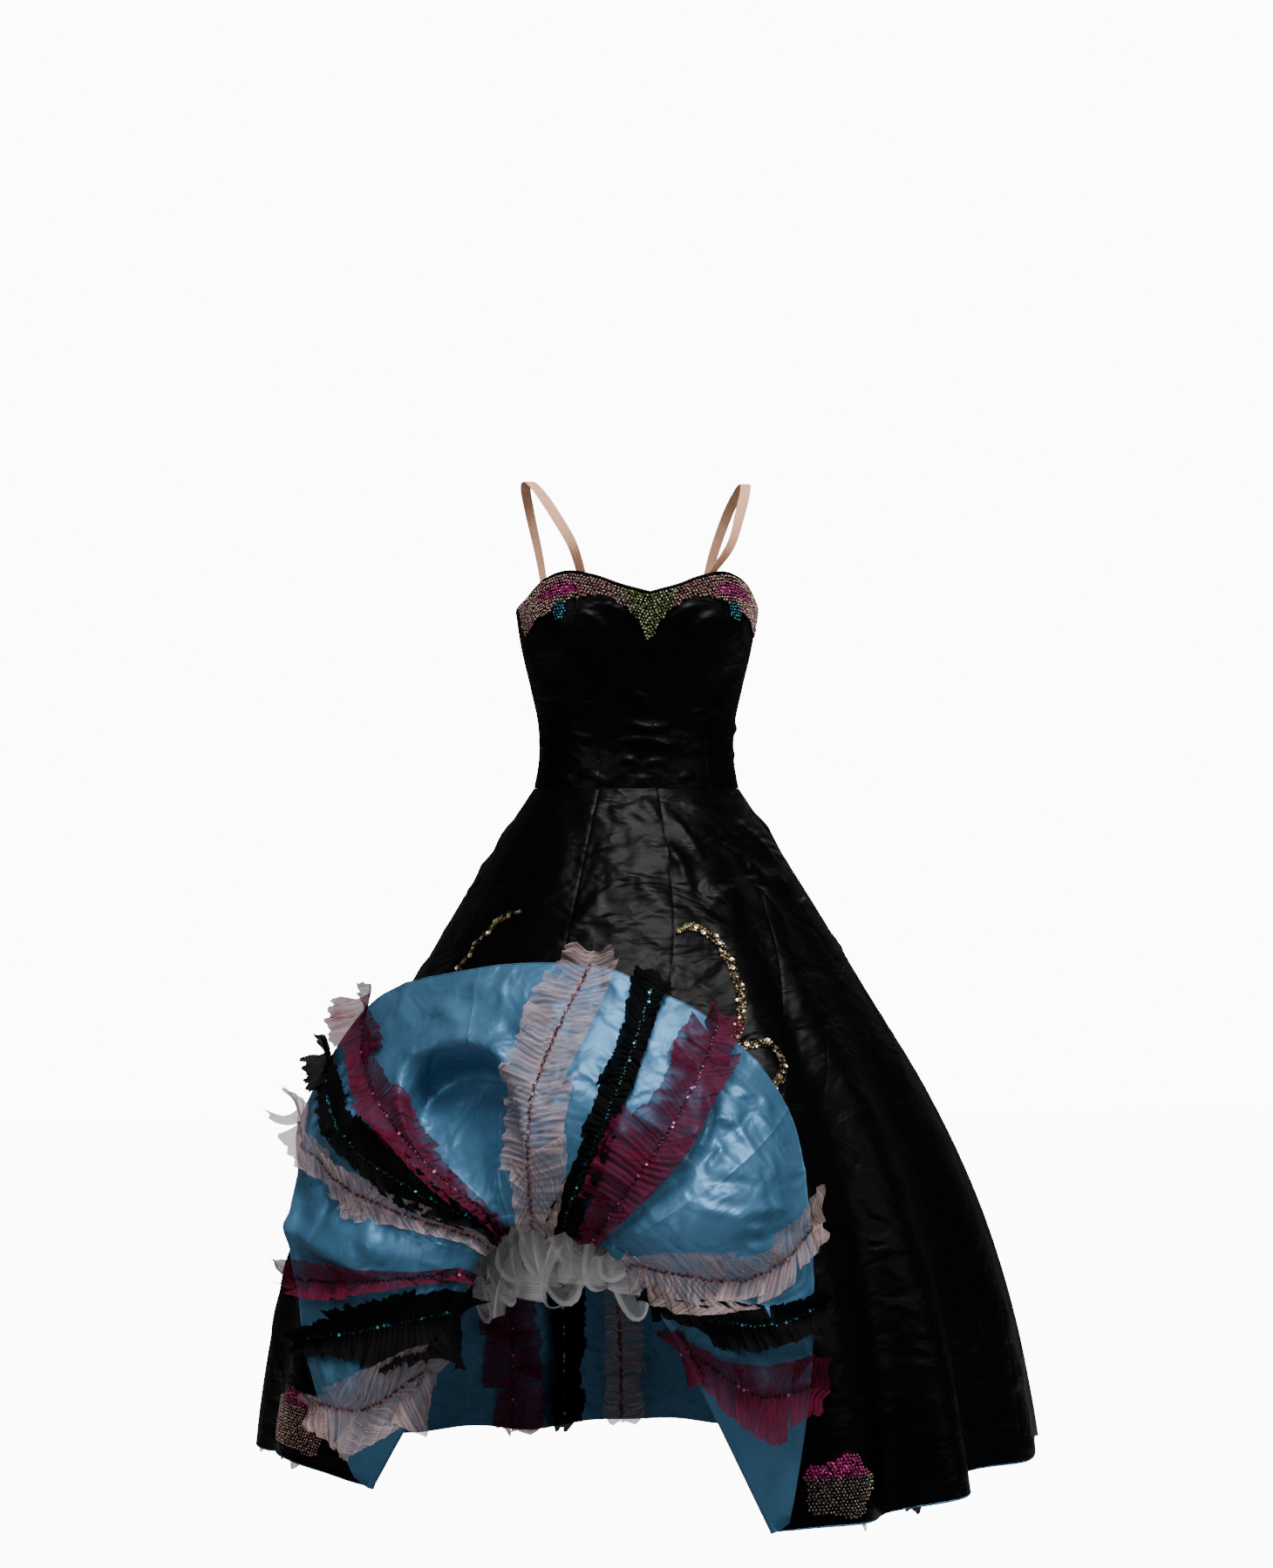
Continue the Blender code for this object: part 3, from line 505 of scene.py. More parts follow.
# Rows from which and over which each kind of crease comes in or dies out
WAIST_FADE = 0.03
HANGING_CREASES_END = 1.6
HANGING_CREASES_FADE = 0.6
RAISED_CREASES_START = 1.9
RAISED_CREASES_FADE = 0.25


def skirt_relief(gore, row, points):
    """Everything that lifts or lowers both layers of the skirt together, out of the black face."""
    hanging = ramp(HANGING_CREASES_END - row, HANGING_CREASES_FADE) * ramp(row, WAIST_FADE)
    turned = ramp(row - RAISED_CREASES_START, RAISED_CREASES_FADE)
    relief = seam_relief(gore, row)
    falling_creases = (*FALL_CREASES, *UPPER_SKIRT_CREASES, *SKIRT_CREASES)
    relief = relief + hanging * crease_relief(points, falling_creases, bell_metres_a_degree)
    if turned.any():
        lining_creases = (*FLAP_CREASES, *LINING_CREASES)
        relief = relief - turned * crease_relief(points, lining_creases, bell_metres_a_degree)
        relief = relief + np.where(row > 2.0, hollow_relief(gore, row), 0.0)
    return relief


LOOSE_LINING_END = 1.4
LOOSE_LINING_FADE = 0.4


def lining_depth(row):
    """How far the lining lies under the black face: a little looser where it hangs."""
    return LINING_DEPTH + LINING_EASE * ramp(LOOSE_LINING_END - row, LOOSE_LINING_FADE)


def shell_depth(row):
    """The shell stays back from the lining where it is turned up and out of sight."""
    return -SHELL_EASE * np.sin(math.pi * np.clip(row - 2.0, 0.0, 1.0))


# The hanging hem's dips: two waves a gore, and the gores and rows over which they come in
HEM_DIP = 0.0035
HEM_DIP_SHARE = 1.6
HEM_WAVES = (1.6, 2.8)
SECOND_HEM_WAVE = 0.6
HEM_DIP_GORES = (0.05, 0.3)
HEM_DIP_ROWS = (0.86, 0.14)


def hem_lift(gore, row):
    """The hanging hem dips and lifts a little between its folds."""
    past_raised = ramp(np.abs(gore) - LIFTED - HEM_DIP_GORES[0], HEM_DIP_GORES[1])
    hanging = past_raised * ramp(row - HEM_DIP_ROWS[0], HEM_DIP_ROWS[1]) ** 2
    wave = np.sin(2 * math.pi * HEM_WAVES[0] * gore)
    wave = wave + SECOND_HEM_WAVE * np.sin(2 * math.pi * HEM_WAVES[1] * gore + 1.0)
    return HEM_DIP * hanging * (HEM_DIP_SHARE + wave)


def skirt_face(gore, row, last_row, depth):
    """Points of the wrinkled skirt at a depth under the black face, and the way out of that face."""
    smooth = skirt(gore, row)
    out = skirt_normal(gore, row, last_row)
    relief = skirt_relief(gore, row, smooth)
    lift = hem_lift(gore, row) if last_row <= 1 else 0 * row
    return smooth + lift[..., None] * UP + out * (relief - depth)[..., None], out


BODICE_GROOVE = 0.0005
BODICE_GROOVE_HALF_WIDTH = 0.0016
BODICE_METRES_A_GORE = 0.078


def bodice_relief(gore, share, points, seams):
    """A groove on each seam of a panel, and the creases drawn across it."""
    off = np.min([np.abs(gore - seam) for seam in seams], axis=0) * BODICE_METRES_A_GORE
    groove = -BODICE_GROOVE * bump(off, BODICE_GROOVE_HALF_WIDTH)
    creases = crease_relief(points, BODICE_CREASES, body_metres_a_degree)
    return groove + ramp(1.0 - share, WAIST_FADE) * BODICE_CREASE_GROWTH * creases


def spaced(start, end, count):
    """Columns between two seams, closer together beside each."""
    inner = np.linspace(2 * SEAM_COLUMNS[-1], 1 - 2 * SEAM_COLUMNS[-1], count)
    shares = np.concatenate([SEAM_COLUMNS, inner, 1 - np.array(SEAM_COLUMNS[::-1])])
    return mix(start, end, shares)


# Meshes


def arc_lengths(points, axis):
    """The distance along the rows or columns of a grid of points, from its first one."""
    steps = np.linalg.norm(np.diff(points, axis=axis), axis=-1)
    zero = np.zeros_like(np.take(steps, [0], axis=axis))
    return np.concatenate([zero, np.cumsum(steps, axis=axis)], axis=axis)


def cloth_uv(points):
    """Places on the flat cloth in metres: across from the middle of the piece, and down."""
    across = arc_lengths(points, 1)
    middle = across[:, [across.shape[1] // 2]]
    down = arc_lengths(points, 0)
    return np.stack([across - middle, down], -1)


def place_in_scene(name, data):
    made = bpy.data.objects.new(name, data)
    bpy.context.scene.collection.objects.link(made)
    return made


def mesh_object(name, points, faces, uv, material):
    mesh = bpy.data.meshes.new(name)
    mesh.from_pydata(points.tolist(), [], faces)
    layer = mesh.uv_layers.new(name="cloth")
    corners = np.zeros(len(mesh.loops), np.int32)
    mesh.loops.foreach_get("vertex_index", corners)
    layer.data.foreach_set("uv", uv[corners].astype(np.float32).ravel())
    mesh.materials.append(material)
    mesh.shade_smooth()
    return place_in_scene(name, mesh)


def quads(index, closed=False):
    """The faces of a grid of point numbers, whose rows run down and whose columns run to the right."""
    if closed:
        index = np.concatenate([index, index[:, :1]], axis=1)
    a, b, c, d = index[:-1, :-1], index[1:, :-1], index[1:, 1:], index[:-1, 1:]
    return np.stack([a, b, c, d], -1).reshape(-1, 4)


def thin_sheet(name, points, material, closed=False, uv=None):
    """One layer of cloth."""
    uv = cloth_uv(points) if uv is None else uv
    index = np.arange(points[..., 0].size).reshape(points.shape[:2])
    faces = quads(index, closed).tolist()
    return mesh_object(name, points.reshape(-1, 3), faces, uv.reshape(-1, 2), material)


def joined_sheets(name, grids, material):
    """Several single layers of cloth as one piece."""
    points, faces, uvs, first = [], [], [], 0
    for grid in grids:
        index = first + np.arange(grid[..., 0].size).reshape(grid.shape[:2])
        first += index.size
        faces.extend(quads(index).tolist())
        points.append(grid.reshape(-1, 3))
        uvs.append(cloth_uv(grid).reshape(-1, 2))
    return mesh_object(name, np.concatenate(points), faces, np.concatenate(uvs), material)


SHARP_EDGE = math.radians(75)


def thin_wall(name, outer, inner, material, closed=False):
    """A closed thin wall between two grids of points."""
    uv = cloth_uv(outer)
    near = np.arange(outer[..., 0].size).reshape(outer.shape[:2])
    far = near + near.size
    faces = [quads(near, closed), quads(far, closed)[:, ::-1]]
    rims = [(near[:1], far[:1]), (far[-1:], near[-1:])]
    if not closed:
        rims += [(far[:, :1].T, near[:, :1].T), (near[:, -1:].T, far[:, -1:].T)]
    for first, second in rims:
        strip = np.concatenate([second, first])
        faces.append(quads(strip, closed and strip.shape[1] == near.shape[1]))
    points = np.concatenate([outer.reshape(-1, 3), inner.reshape(-1, 3)])
    both = np.concatenate([uv.reshape(-1, 2)] * 2)
    made = mesh_object(name, points, np.concatenate(faces).tolist(), both, material)
    made.data.set_sharp_from_angle(angle=SHARP_EDGE)
    return made


LEAST_SHARE_OF_RECTANGLE = 0.31


def flat_area(area, wide, long):
    """A piece's area, no more than the rectangle that it is cut from, and no less than a share of it."""
    return float(min(max(area, LEAST_SHARE_OF_RECTANGLE * wide * long), wide * long))


def cut_of(points, closed=False):
    """The flat size and area of a piece: its longest row, its longest column, and its faces' area."""
    if closed:
        points = np.concatenate([points, points[:, :1]], axis=1)
    wide = arc_lengths(points, 1)[:, -1].max()
    long = arc_lengths(points, 0)[-1].max()
    across, down = points[:-1, 1:] - points[:-1, :-1], points[1:, :-1] - points[:-1, :-1]
    area = np.linalg.norm(np.cross(across, down), axis=-1).sum()
    return (float(wide), float(long)), flat_area(area, wide, long)


def cut_of_strips(strips):
    """The flat size and area of the one long band that strips are cut from."""
    wide = max(float(arc_lengths(strip, 1)[:, -1].mean()) for strip in strips)
    long = sum(float(arc_lengths(strip, 0)[-1].mean()) for strip in strips)
    return (long, wide), flat_area(sum(cut_of(strip)[1] for strip in strips), wide, long)


# Materials


class Finish:
    """A material being made, with short ways to add and join its nodes."""

    def __init__(self, name):
        self.material = bpy.data.materials.new(name)
        self.material.use_nodes = True
        self.tree = self.material.node_tree
        self.shader = self.tree.nodes["Principled BSDF"]

    def add(self, kind, inputs=None, **settings):
        node = self.tree.nodes.new(kind)
        for field, value in settings.items():
            setattr(node, field, value)
        for socket, value in (inputs or {}).items():
            self.put(node, socket, value)
        return node

    def put(self, node, socket, value):
        if isinstance(value, bpy.types.NodeSocket):
            self.tree.links.new(value, node.inputs[socket])
        else:
            node.inputs[socket].default_value = value

    def set(self, **values):
        for field, value in values.items():
            self.put(self.shader, field.replace("_", " "), value)

    def place(self, source, scale=(1.0, 1.0, 1.0)):
        """Texture coordinates from the named source, scaled."""
        start = self.add("ShaderNodeTexCoord")
        return self.add("ShaderNodeMapping", {"Vector": start.outputs[source], "Scale": scale}).outputs[0]

    def noise(self, place, scale, detail=3.0, distortion=0.0):
        inputs = {"Vector": place, "Scale": scale, "Detail": detail, "Distortion": distortion}
        return self.add("ShaderNodeTexNoise", inputs).outputs["Fac"]

    def waves(self, place, scale, distortion, direction):
        inputs = {"Vector": place, "Scale": scale, "Distortion": distortion}
        return self.add("ShaderNodeTexWave", inputs, bands_direction=direction).outputs["Fac"]

    def ramp(self, value, stops):
        node = self.add("ShaderNodeValToRGB", {"Fac": value})
        while len(node.color_ramp.elements) < len(stops):
            node.color_ramp.elements.new(0.5)
        for element, (at, colour) in zip(node.color_ramp.elements, stops):
            element.position = at
            element.color = (*colour, 1.0)
        return node.outputs["Color"]

    def sum(self, first, second):
        return self.add("ShaderNodeMath", {0: first, 1: second}, operation="ADD").outputs[0]

    def ridged(self, value):
        """Smooth noise folded over its middle, so that sharp ridges run through it."""
        away = self.add("ShaderNodeMath", {0: value, 1: 0.5}, operation="SUBTRACT")
        folded = self.add("ShaderNodeMath", {0: away.outputs[0]}, operation="ABSOLUTE")
        return self.add("ShaderNodeMath", {0: 1.0, 1: folded.outputs[0]}, operation="SUBTRACT").outputs[0]

    def to_range(self, value, low, high, from_low=0.0, from_high=1.0):
        """The value, spread from one range to another."""
        inputs = {"Value": value, "From Min": from_low, "From Max": from_high, "To Min": low, "To Max": high}
        return self.add("ShaderNodeMapRange", inputs).outputs["Result"]

    def bump(self, height, strength, distance, under=None):
        inputs = {"Height": height, "Strength": strength, "Distance": distance}
        if under is not None:
            inputs["Normal"] = under
        return self.add("ShaderNodeBump", inputs).outputs["Normal"]


def satin(name, dark, light, roughness, metallic, shine, crumples, stretch):
    """Satin: long floats that shine, with slow changes of colour and crumples of two sizes."""
    finish = Finish(name)
    body = finish.place("Object")
    flat = finish.place("UV")
    drawn = finish.place("Object", stretch)
    finish.set(Base_Color=finish.ramp(finish.noise(body, 9.0, 3.0), ((0.3, dark), (0.7, light))))
    rough = finish.to_range(finish.noise(body, 40.0, 4.0), roughness - 0.05, roughness + 0.08)
    finish.set(Roughness=rough, Metallic=metallic, Specular_IOR_Level=shine)
    broad = finish.noise(drawn, 16.0, 2.0, 0.8)
    ridges = finish.ridged(finish.noise(drawn, 30.0, 2.0, 0.5))
    crumpled = finish.bump(ridges, crumples, 0.006, finish.bump(broad, 2 * crumples, 0.012))
    floats = finish.waves(flat, 900.0, 1.5, "X")
    finish.set(Normal=finish.bump(floats, 0.05, 0.0002, crumpled))
    return finish.material


def net(name, colour, thin, thick):
    """Net: fine cells that let the light through, and streaks where it is gathered closer, more opaque there,
    with painted light along the streaks and painted shade between them.
    """
    finish = Finish(name)
    flat = finish.place("UV")
    gathered = finish.place("UV", (10.0, 200.0, 1.0))
    body = finish.place("Object")
    streaks = finish.noise(gathered, 1.0, 3.0, 0.4)
    # Painted light and shade: the net's one colour is painted paler along the streaks and darker between
    # them.
    pale = tuple(min(1.0, c * 1.35) for c in colour)
    deep = tuple(c * 0.6 for c in colour)
    finish.set(Base_Color=finish.ramp(streaks, ((0.3, deep), (0.65, pale))))
    finish.set(Roughness=0.8, Specular_IOR_Level=0.1)
    cells = finish.add("ShaderNodeTexVoronoi", {"Vector": flat, "Scale": 620.0}, feature="DISTANCE_TO_EDGE")
    threads = finish.to_range(cells.outputs["Distance"], 0.5, 0.0)
    patches = finish.sum(finish.noise(body, 22.0, 2.0), streaks)
    finish.set(Alpha=finish.to_range(finish.sum(threads, patches), thin, thick, 1.0, 1.75))
    return finish.material


def ribbon(name, colour, thin, thick, half_width):
    """A soft net ribbon, closer woven along both edges."""
    finish = Finish(name)
    across = finish.add("ShaderNodeSeparateXYZ", {"Vector": finish.place("UV")}).outputs["X"]
    away = finish.add("ShaderNodeMath", {0: across}, operation="ABSOLUTE").outputs[0]
    edges = finish.to_range(away, thin, thick, 0.62 * half_width, 0.95 * half_width)
    finish.set(Base_Color=(*colour, 1.0), Roughness=0.7, Specular_IOR_Level=0.2, Alpha=edges)
    return finish.material


def glossy(name, colours, roughness, metallic):
    """Beads and sequins, each one a little different in colour."""
    finish = Finish(name)
    own = finish.add("ShaderNodeAttribute", attribute_name="tint").outputs["Fac"]
    stops = [((i + 0.5) / len(colours), colour) for i, colour in enumerate(colours)]
    finish.set(Base_Color=finish.ramp(own, stops), Metallic=metallic)
    finish.set(Roughness=finish.to_range(own, roughness, roughness + 0.12))
    return finish.material


def elastic():
    """Ribbed elastic, with cords along it and ribs across."""
    finish = Finish("strap_elastic_finish")
    flat = finish.place("UV")
    ribs = finish.waves(flat, 260.0, 0.4, "Y")
    cords = finish.waves(flat, 150.0, 0.2, "X")
    shade = finish.noise(flat, 120.0, 3.0)
    finish.set(Base_Color=finish.ramp(shade, ((0.3, (0.86, 0.43, 0.25)), (0.7, (0.93, 0.53, 0.34)))))
    finish.set(Roughness=0.62, Sheen_Weight=0.05, Specular_IOR_Level=0.25)
    finish.set(Normal=finish.bump(ribs, 0.4, 0.0004, finish.bump(cords, 0.5, 0.0005)))
    return finish.material


BLACK_SATIN = satin(
    "black_satin",
    dark=(0.0006, 0.0006, 0.0008),
    light=(0.0012, 0.0012, 0.0015),
    roughness=0.36,
    metallic=0.0,
    shine=0.070,
    crumples=0.34,
    stretch=(0.8, 0.8, 1.5),
)
BLUE_SATIN = satin(
    "blue_satin",
    dark=(0.050, 0.142, 0.252),
    light=(0.078, 0.202, 0.350),
    roughness=0.41,
    metallic=0.42,
    shine=0.12,
    crumples=0.36,
    stretch=(1.0, 1.0, 1.0),
)
PINK_NET = net("pink_net", (0.50, 0.36, 0.36), thin=0.10, thick=0.56)
BLACK_NET = net("black_net", (0.0010, 0.0010, 0.0013), thin=0.97, thick=1.0)
WINE_NET = net("wine_net", (0.098, 0.0040, 0.024), thin=0.44, thick=0.92)
GREY_NET = net("grey_net", (0.74, 0.74, 0.77), thin=0.28, thick=0.80)
RIBBON_HALF_WIDTH = 0.010
RIBBON_NET = ribbon("ribbon_net", (0.80, 0.80, 0.82), thin=0.34, thick=0.90, half_width=RIBBON_HALF_WIDTH)
ELASTIC = elastic()
# Nearly all of the cyan and wine sequins are dark, and one in nine or ten is painted bright, a painted glint.
DARK_CYAN = [(0.003, 0.016, 0.024)] * 8
DARK_WINE = [(0.030, 0.002, 0.010)] * 9
SEWN_ON = {
    kind: ("beads" if kind.endswith("beads") else "sequins", glossy(finish, colours, roughness, metallic))
    for kind, finish, roughness, metallic, *colours in (
        (
            "rose_beads", "rose_bead_glass", 0.16, 0.3,
            (0.26, 0.14, 0.12), (0.52, 0.33, 0.29), (0.78, 0.57, 0.51),
        ),
        ("brown_beads", "brown_bead_glass", 0.2, 0.3, (0.10, 0.07, 0.065), (0.30, 0.22, 0.20)),
        (
            "green_beads", "green_bead_glass", 0.16, 0.4,
            (0.10, 0.12, 0.05), (0.28, 0.32, 0.14), (0.70, 0.74, 0.50),
        ),
        ("teal_beads", "teal_bead_glass", 0.16, 0.5, (0.01, 0.08, 0.12), (0.08, 0.34, 0.44)),
        ("magenta_beads", "magenta_bead_glass", 0.16, 0.4, (0.22, 0.02, 0.09), (0.60, 0.12, 0.30)),
        ("wine_foil", "wine_brown_foil", 0.25, 0.7, (0.030, 0.010, 0.012), (0.075, 0.028, 0.030)),
        ("brown_foil", "brown_foil", 0.25, 0.7, (0.010, 0.007, 0.007), (0.030, 0.020, 0.018)),
        ("green_foil", "green_foil", 0.22, 0.8, (0.010, 0.016, 0.005), (0.050, 0.065, 0.018)),
        ("teal_foil", "teal_foil", 0.2, 0.8, (0.002, 0.020, 0.030), (0.010, 0.080, 0.110)),
        ("magenta_foil", "magenta_foil", 0.2, 0.8, (0.09, 0.003, 0.040), (0.44, 0.016, 0.21)),
        (
            "gold_sequins", "gold_foil", 0.24, 0.9,
            (0.018, 0.012, 0.006), (0.055, 0.037, 0.019), (0.18, 0.125, 0.065),
        ),
        # Bright gold: painted glints, on the bigger sequins of the stem.
        ("bright_gold_sequins", "bright_gold_foil", 0.2, 0.9, (0.40, 0.31, 0.18), (0.85, 0.75, 0.55)),
        (
            "rose_sequins", "rose_foil", 0.28, 0.7,
            (0.05, 0.008, 0.012), (0.13, 0.03, 0.035), (0.34, 0.13, 0.13),
        ),
        # The last colour of the cyan and of the wine sequins is a painted glint.
        ("cyan_sequins", "cyan_foil", 0.2, 0.8, *DARK_CYAN, (0.12, 0.55, 0.70)),
        # Bright cyan: painted glints, given to every sequin in one stretch of one black ruffle.
        ("bright_cyan_sequins", "bright_cyan_foil", 0.2, 0.8, (0.03, 0.20, 0.28), (0.15, 0.60, 0.75)),
        ("wine_sequins", "wine_foil_dark", 0.22, 0.8, *DARK_WINE, (0.60, 0.16, 0.30)),
    )
}
# The foil under each colour of bead
FOIL_UNDER = {
    "rose_beads": "wine_foil",
    "brown_beads": "brown_foil",
    "green_beads": "green_foil",
    "teal_beads": "teal_foil",
    "magenta_beads": "magenta_foil",
}


def ride_on_dress(piece, nodes=()):
    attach(piece, "root")
    if nodes:
        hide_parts(*nodes)


# Skirt


def gore_name(index):
    return f"left_{index + 1}" if index >= 0 else f"right_{-index}"


def gore_rows(index, falling_rows, flap_rows):
    fall = np.linspace(0.0, 1.0, falling_rows)
    if index not in RAISED_GORES:
        return fall
    turn = np.linspace(1.0, 2.0, TURN_ROWS + 1)[1:]
    return np.concatenate([fall, turn, np.linspace(2.0, 3.0, flap_rows)[1:]])


def skirt_gore(index):
    """One gore of the shell and the same gore of the lining under it."""
    name = gore_name(index)
    for title, node, slot, finish, depth, counts, raised_columns in (
        ("shell", "skirt", "shell_satin", BLACK_SATIN, shell_depth, SHELL_ROWS, GORE_COLUMNS),
        ("blue_lining", "lining", "lining_satin", BLUE_SATIN, lining_depth, LINING_ROWS, LINING_COLUMNS),
    ):
        rows = gore_rows(index, *counts)
        columns = BACK_COLUMNS if index in BACK_GORES else GORE_COLUMNS
        if index in RAISED_GORES:
            columns = raised_columns
        gore, row = np.meshgrid(spaced(index, index + 1, columns), rows)
        face, out = skirt_face(gore, row, rows[-1], depth(row))
        flat, area = cut_of(skirt(gore, row))
        piece = thin_wall(f"{title}_{name}", face, face - out * THIN, finish)
        ride_on_dress(piece, [f"{node}_{name}"])


# What is sewn on: its places are gathered here while the cloth is made, and filled at the end.
BEAD = 0.0023
FOIL = 0.0046
SMALL_SEQUIN = 0.0036
SEQUIN = 0.0044
BIG_SEQUIN = 0.0060
PLACES = {name: [] for name in SEWN_ON}


def sew_on(kind, points, outs, size):
    sizes = np.broadcast_to(size, len(points))[:, None]
    PLACES[kind].append(np.concatenate([points, outs, sizes], axis=1))


BEAD_OVER_FOIL = 0.0013


def bead_on_foil(kind, points, outs):
    """A bead that holds a sequin by its hole."""
    sew_on(FOIL_UNDER[kind], points, outs, FOIL)
    sew_on(kind, points + outs * BEAD_OVER_FOIL, outs, BEAD)


# Net ruffles
RUFFLES = table(
    "name column half_width ragged material slot sequins sequin_step",
    ("pink", 0.25, 0.036, 0.03, PINK_NET, "net_pink", "rose_sequins", 0.0034),
    ("black", 0.45, 0.024, 0.17, BLACK_NET, "net_black", "cyan_sequins", 0.0045),
    ("wine", 0.65, 0.034, 0.06, WINE_NET, "net_wine", "wine_sequins", 0.005),
)
# Some ruffles are wider or narrower than their colour's usual width, at the hem and away from it.
RUFFLE_WIDTHS = {
    ("wine", -2): (1.0, 0.22),
    ("black", -2): (1.1, 1.75),
    ("pink", -2): (0.95, 1.15),
    ("wine", 1): (1.15, 1.15),
    ("wine", -1): (1.0, 0.80),
    ("pink", -1): (0.95, 0.85),
}
# How far, in gores, a ruffle's line is bowed off straight halfway up the raised cloth
RUFFLE_BOWS = {
    ("pink", 1): 0.10,
    ("black", 1): 0.07,
    ("wine", 1): 0.06,
    ("pink", 0): -0.05,
    ("pink", -2): -0.06,
    ("pink", -1): -0.03,
}
# The stretch of one black ruffle whose sequins are all painted bright, as painted glints.
Brightest = namedtuple("Brightest", "gore row end_row")
BRIGHT_SEQUINS = Brightest(-0.55, 2.58, 2.78)
RUFFLE_STAND = (8.0, 34.0)
RUFFLE_STAND_AT_RIGHT_HEM = 42.0
RUFFLE_STAND_AT_LEFT_HEM = 8.0
RUFFLE_START = 0.6
RUFFLE_LEAST_HALF_WIDTH = 0.013
RUFFLE_HALF_WIDTH_IN_FOLDS = 0.016
RUFFLE_SHARE_OF_GORE = 0.16
DEEPLY_FOLDED_GORE = 2
RUFFLE_PAST_RAISED_HEM = 0.020
RUFFLE_PAST_HANGING_HEM = 0.007
GATHER = 0.0066
RUFFLE_STEP = 0.0013
HIDDEN_RUFFLE_STEP = 0.0018
RUFFLE_ACROSS = np.array([0.0, 0.08, 0.22, 0.40, 0.60, 0.80, 1.0])
STRIP_LENGTH = (0.045, 0.120)
RUFFLE_SEEDS = 17


def bowed(column, bow, row):
    return column + bow * np.sin(math.pi * np.clip(row - 2.0, 0.0, 1.0))


RuffleLine = namedtuple("RuffleLine", "column last_row bow rows lengths")
RUFFLE_LINE_ROWS = 240
RUFFLE_TIP = 0.012


def ruffle_line(column, last_row, bow):
    """A ruffle's centre line: rows spaced along it, and their distances along the cloth."""
    rows = np.linspace(RUFFLE_START, last_row, RUFFLE_LINE_ROWS)
    lengths = arc_lengths(skirt(bowed(column, bow, rows), rows), 0)
    return RuffleLine(column, last_row, bow, rows, lengths)


def laid_on_lining(line, s, off, lift):
    """Points on a ruffle: s along its line, off to one side of it, and lifted off the lining."""
    row = np.interp(s, line.lengths, line.rows)
    gore = bowed(line.column, line.bow, row) + off / gore_metres(np.full_like(row, line.column), row)
    limit = LIFTED if line.last_row > 1 else GORES / 2
    depth = lining_depth(row) + THIN
    face, out = skirt_face(np.clip(gore, -limit, limit), row, line.last_row, depth)
    end = np.array([line.lengths[-1] - RUFFLE_TIP, line.lengths[-1]])
    tip = skirt(np.full(2, line.column), np.interp(end, line.lengths, line.rows))
    past = np.maximum(s - line.lengths[-1], 0.0)[..., None]
    return face - out * lift[..., None] + unit(tip[1] - tip[0]) * past


# One strip of net: its width, its fan and lean, the ripples along it, and how its gathers stand
STRIP_WIDTHS = (0.66, 1.22)
STRIP_FAN = (0.05, 0.50)
LAST_STRIP_FAN = (0.05, 0.15)
STRIP_LEAN = (-0.40, 0.40)
LAST_STRIP_LEAN = 0.2
Ripple = namedtuple("Ripple", "height length")
EDGE_RIPPLE = Ripple(0.06, 0.021)
GATHER_RIPPLE = Ripple(1.2, 0.019)
STAND_RIPPLE = Ripple(0.4, 0.024)
RAGGED_POINTS = 3
RAGGED_SHARES = (0.6, 0.4)
HEM_WIDTH_FADE = 0.16
HEM_STAND_FADE = 0.06
GATHER_SWAY = 0.22
SWAY_GATHERS = 1.13
STAND_GROWTH = 0.4
SWELL = 0.8
SWELL_LENGTHS = (0.0087, 0.023)
STRIP_CLEARANCE = 0.0012
SEAM_GATHER = 0.0005
MIDDLE_GATHER = 0.0007
EDGE_GATHER = 0.0030
EDGE_GATHERS = 2.9
ROUNDED_END = 0.014
ROUNDED_END_RIPPLE = 0.004


def ripple(kind, s, phase):
    return kind.height * np.sin(s / kind.length + phase)


def ragged_edge(count, draw):
    """How unevenly the net is cut, point by point along a strip."""
    coarse = np.array([draw.uniform(-1.0, 1.0) for _ in range(count // RAGGED_POINTS + 2)])
    fine = np.array([draw.uniform(-1.0, 1.0) for _ in range(count)])
    smoothed = np.interp(np.arange(count) / RAGGED_POINTS, np.arange(len(coarse)), coarse)
    return (RAGGED_SHARES[0] * smoothed + RAGGED_SHARES[1] * fine)[:, None]


def gather_lift(s, t, gathers, phase):
    """How far the gathers stand off a strip, at its seam, in its middle and at its edge."""
    first, second = SWELL_LENGTHS
    swell = 1 + SWELL * np.sin(s / first + phase[1]) * np.sin(s / second + phase[5])
    middle = MIDDLE_GATHER * swell * np.sin(math.pi * t**0.7) * (1 + np.sin(gathers))
    return middle, EDGE_GATHER * t**1.3 * (1 + np.sin(gathers / EDGE_GATHERS + phase[5]))


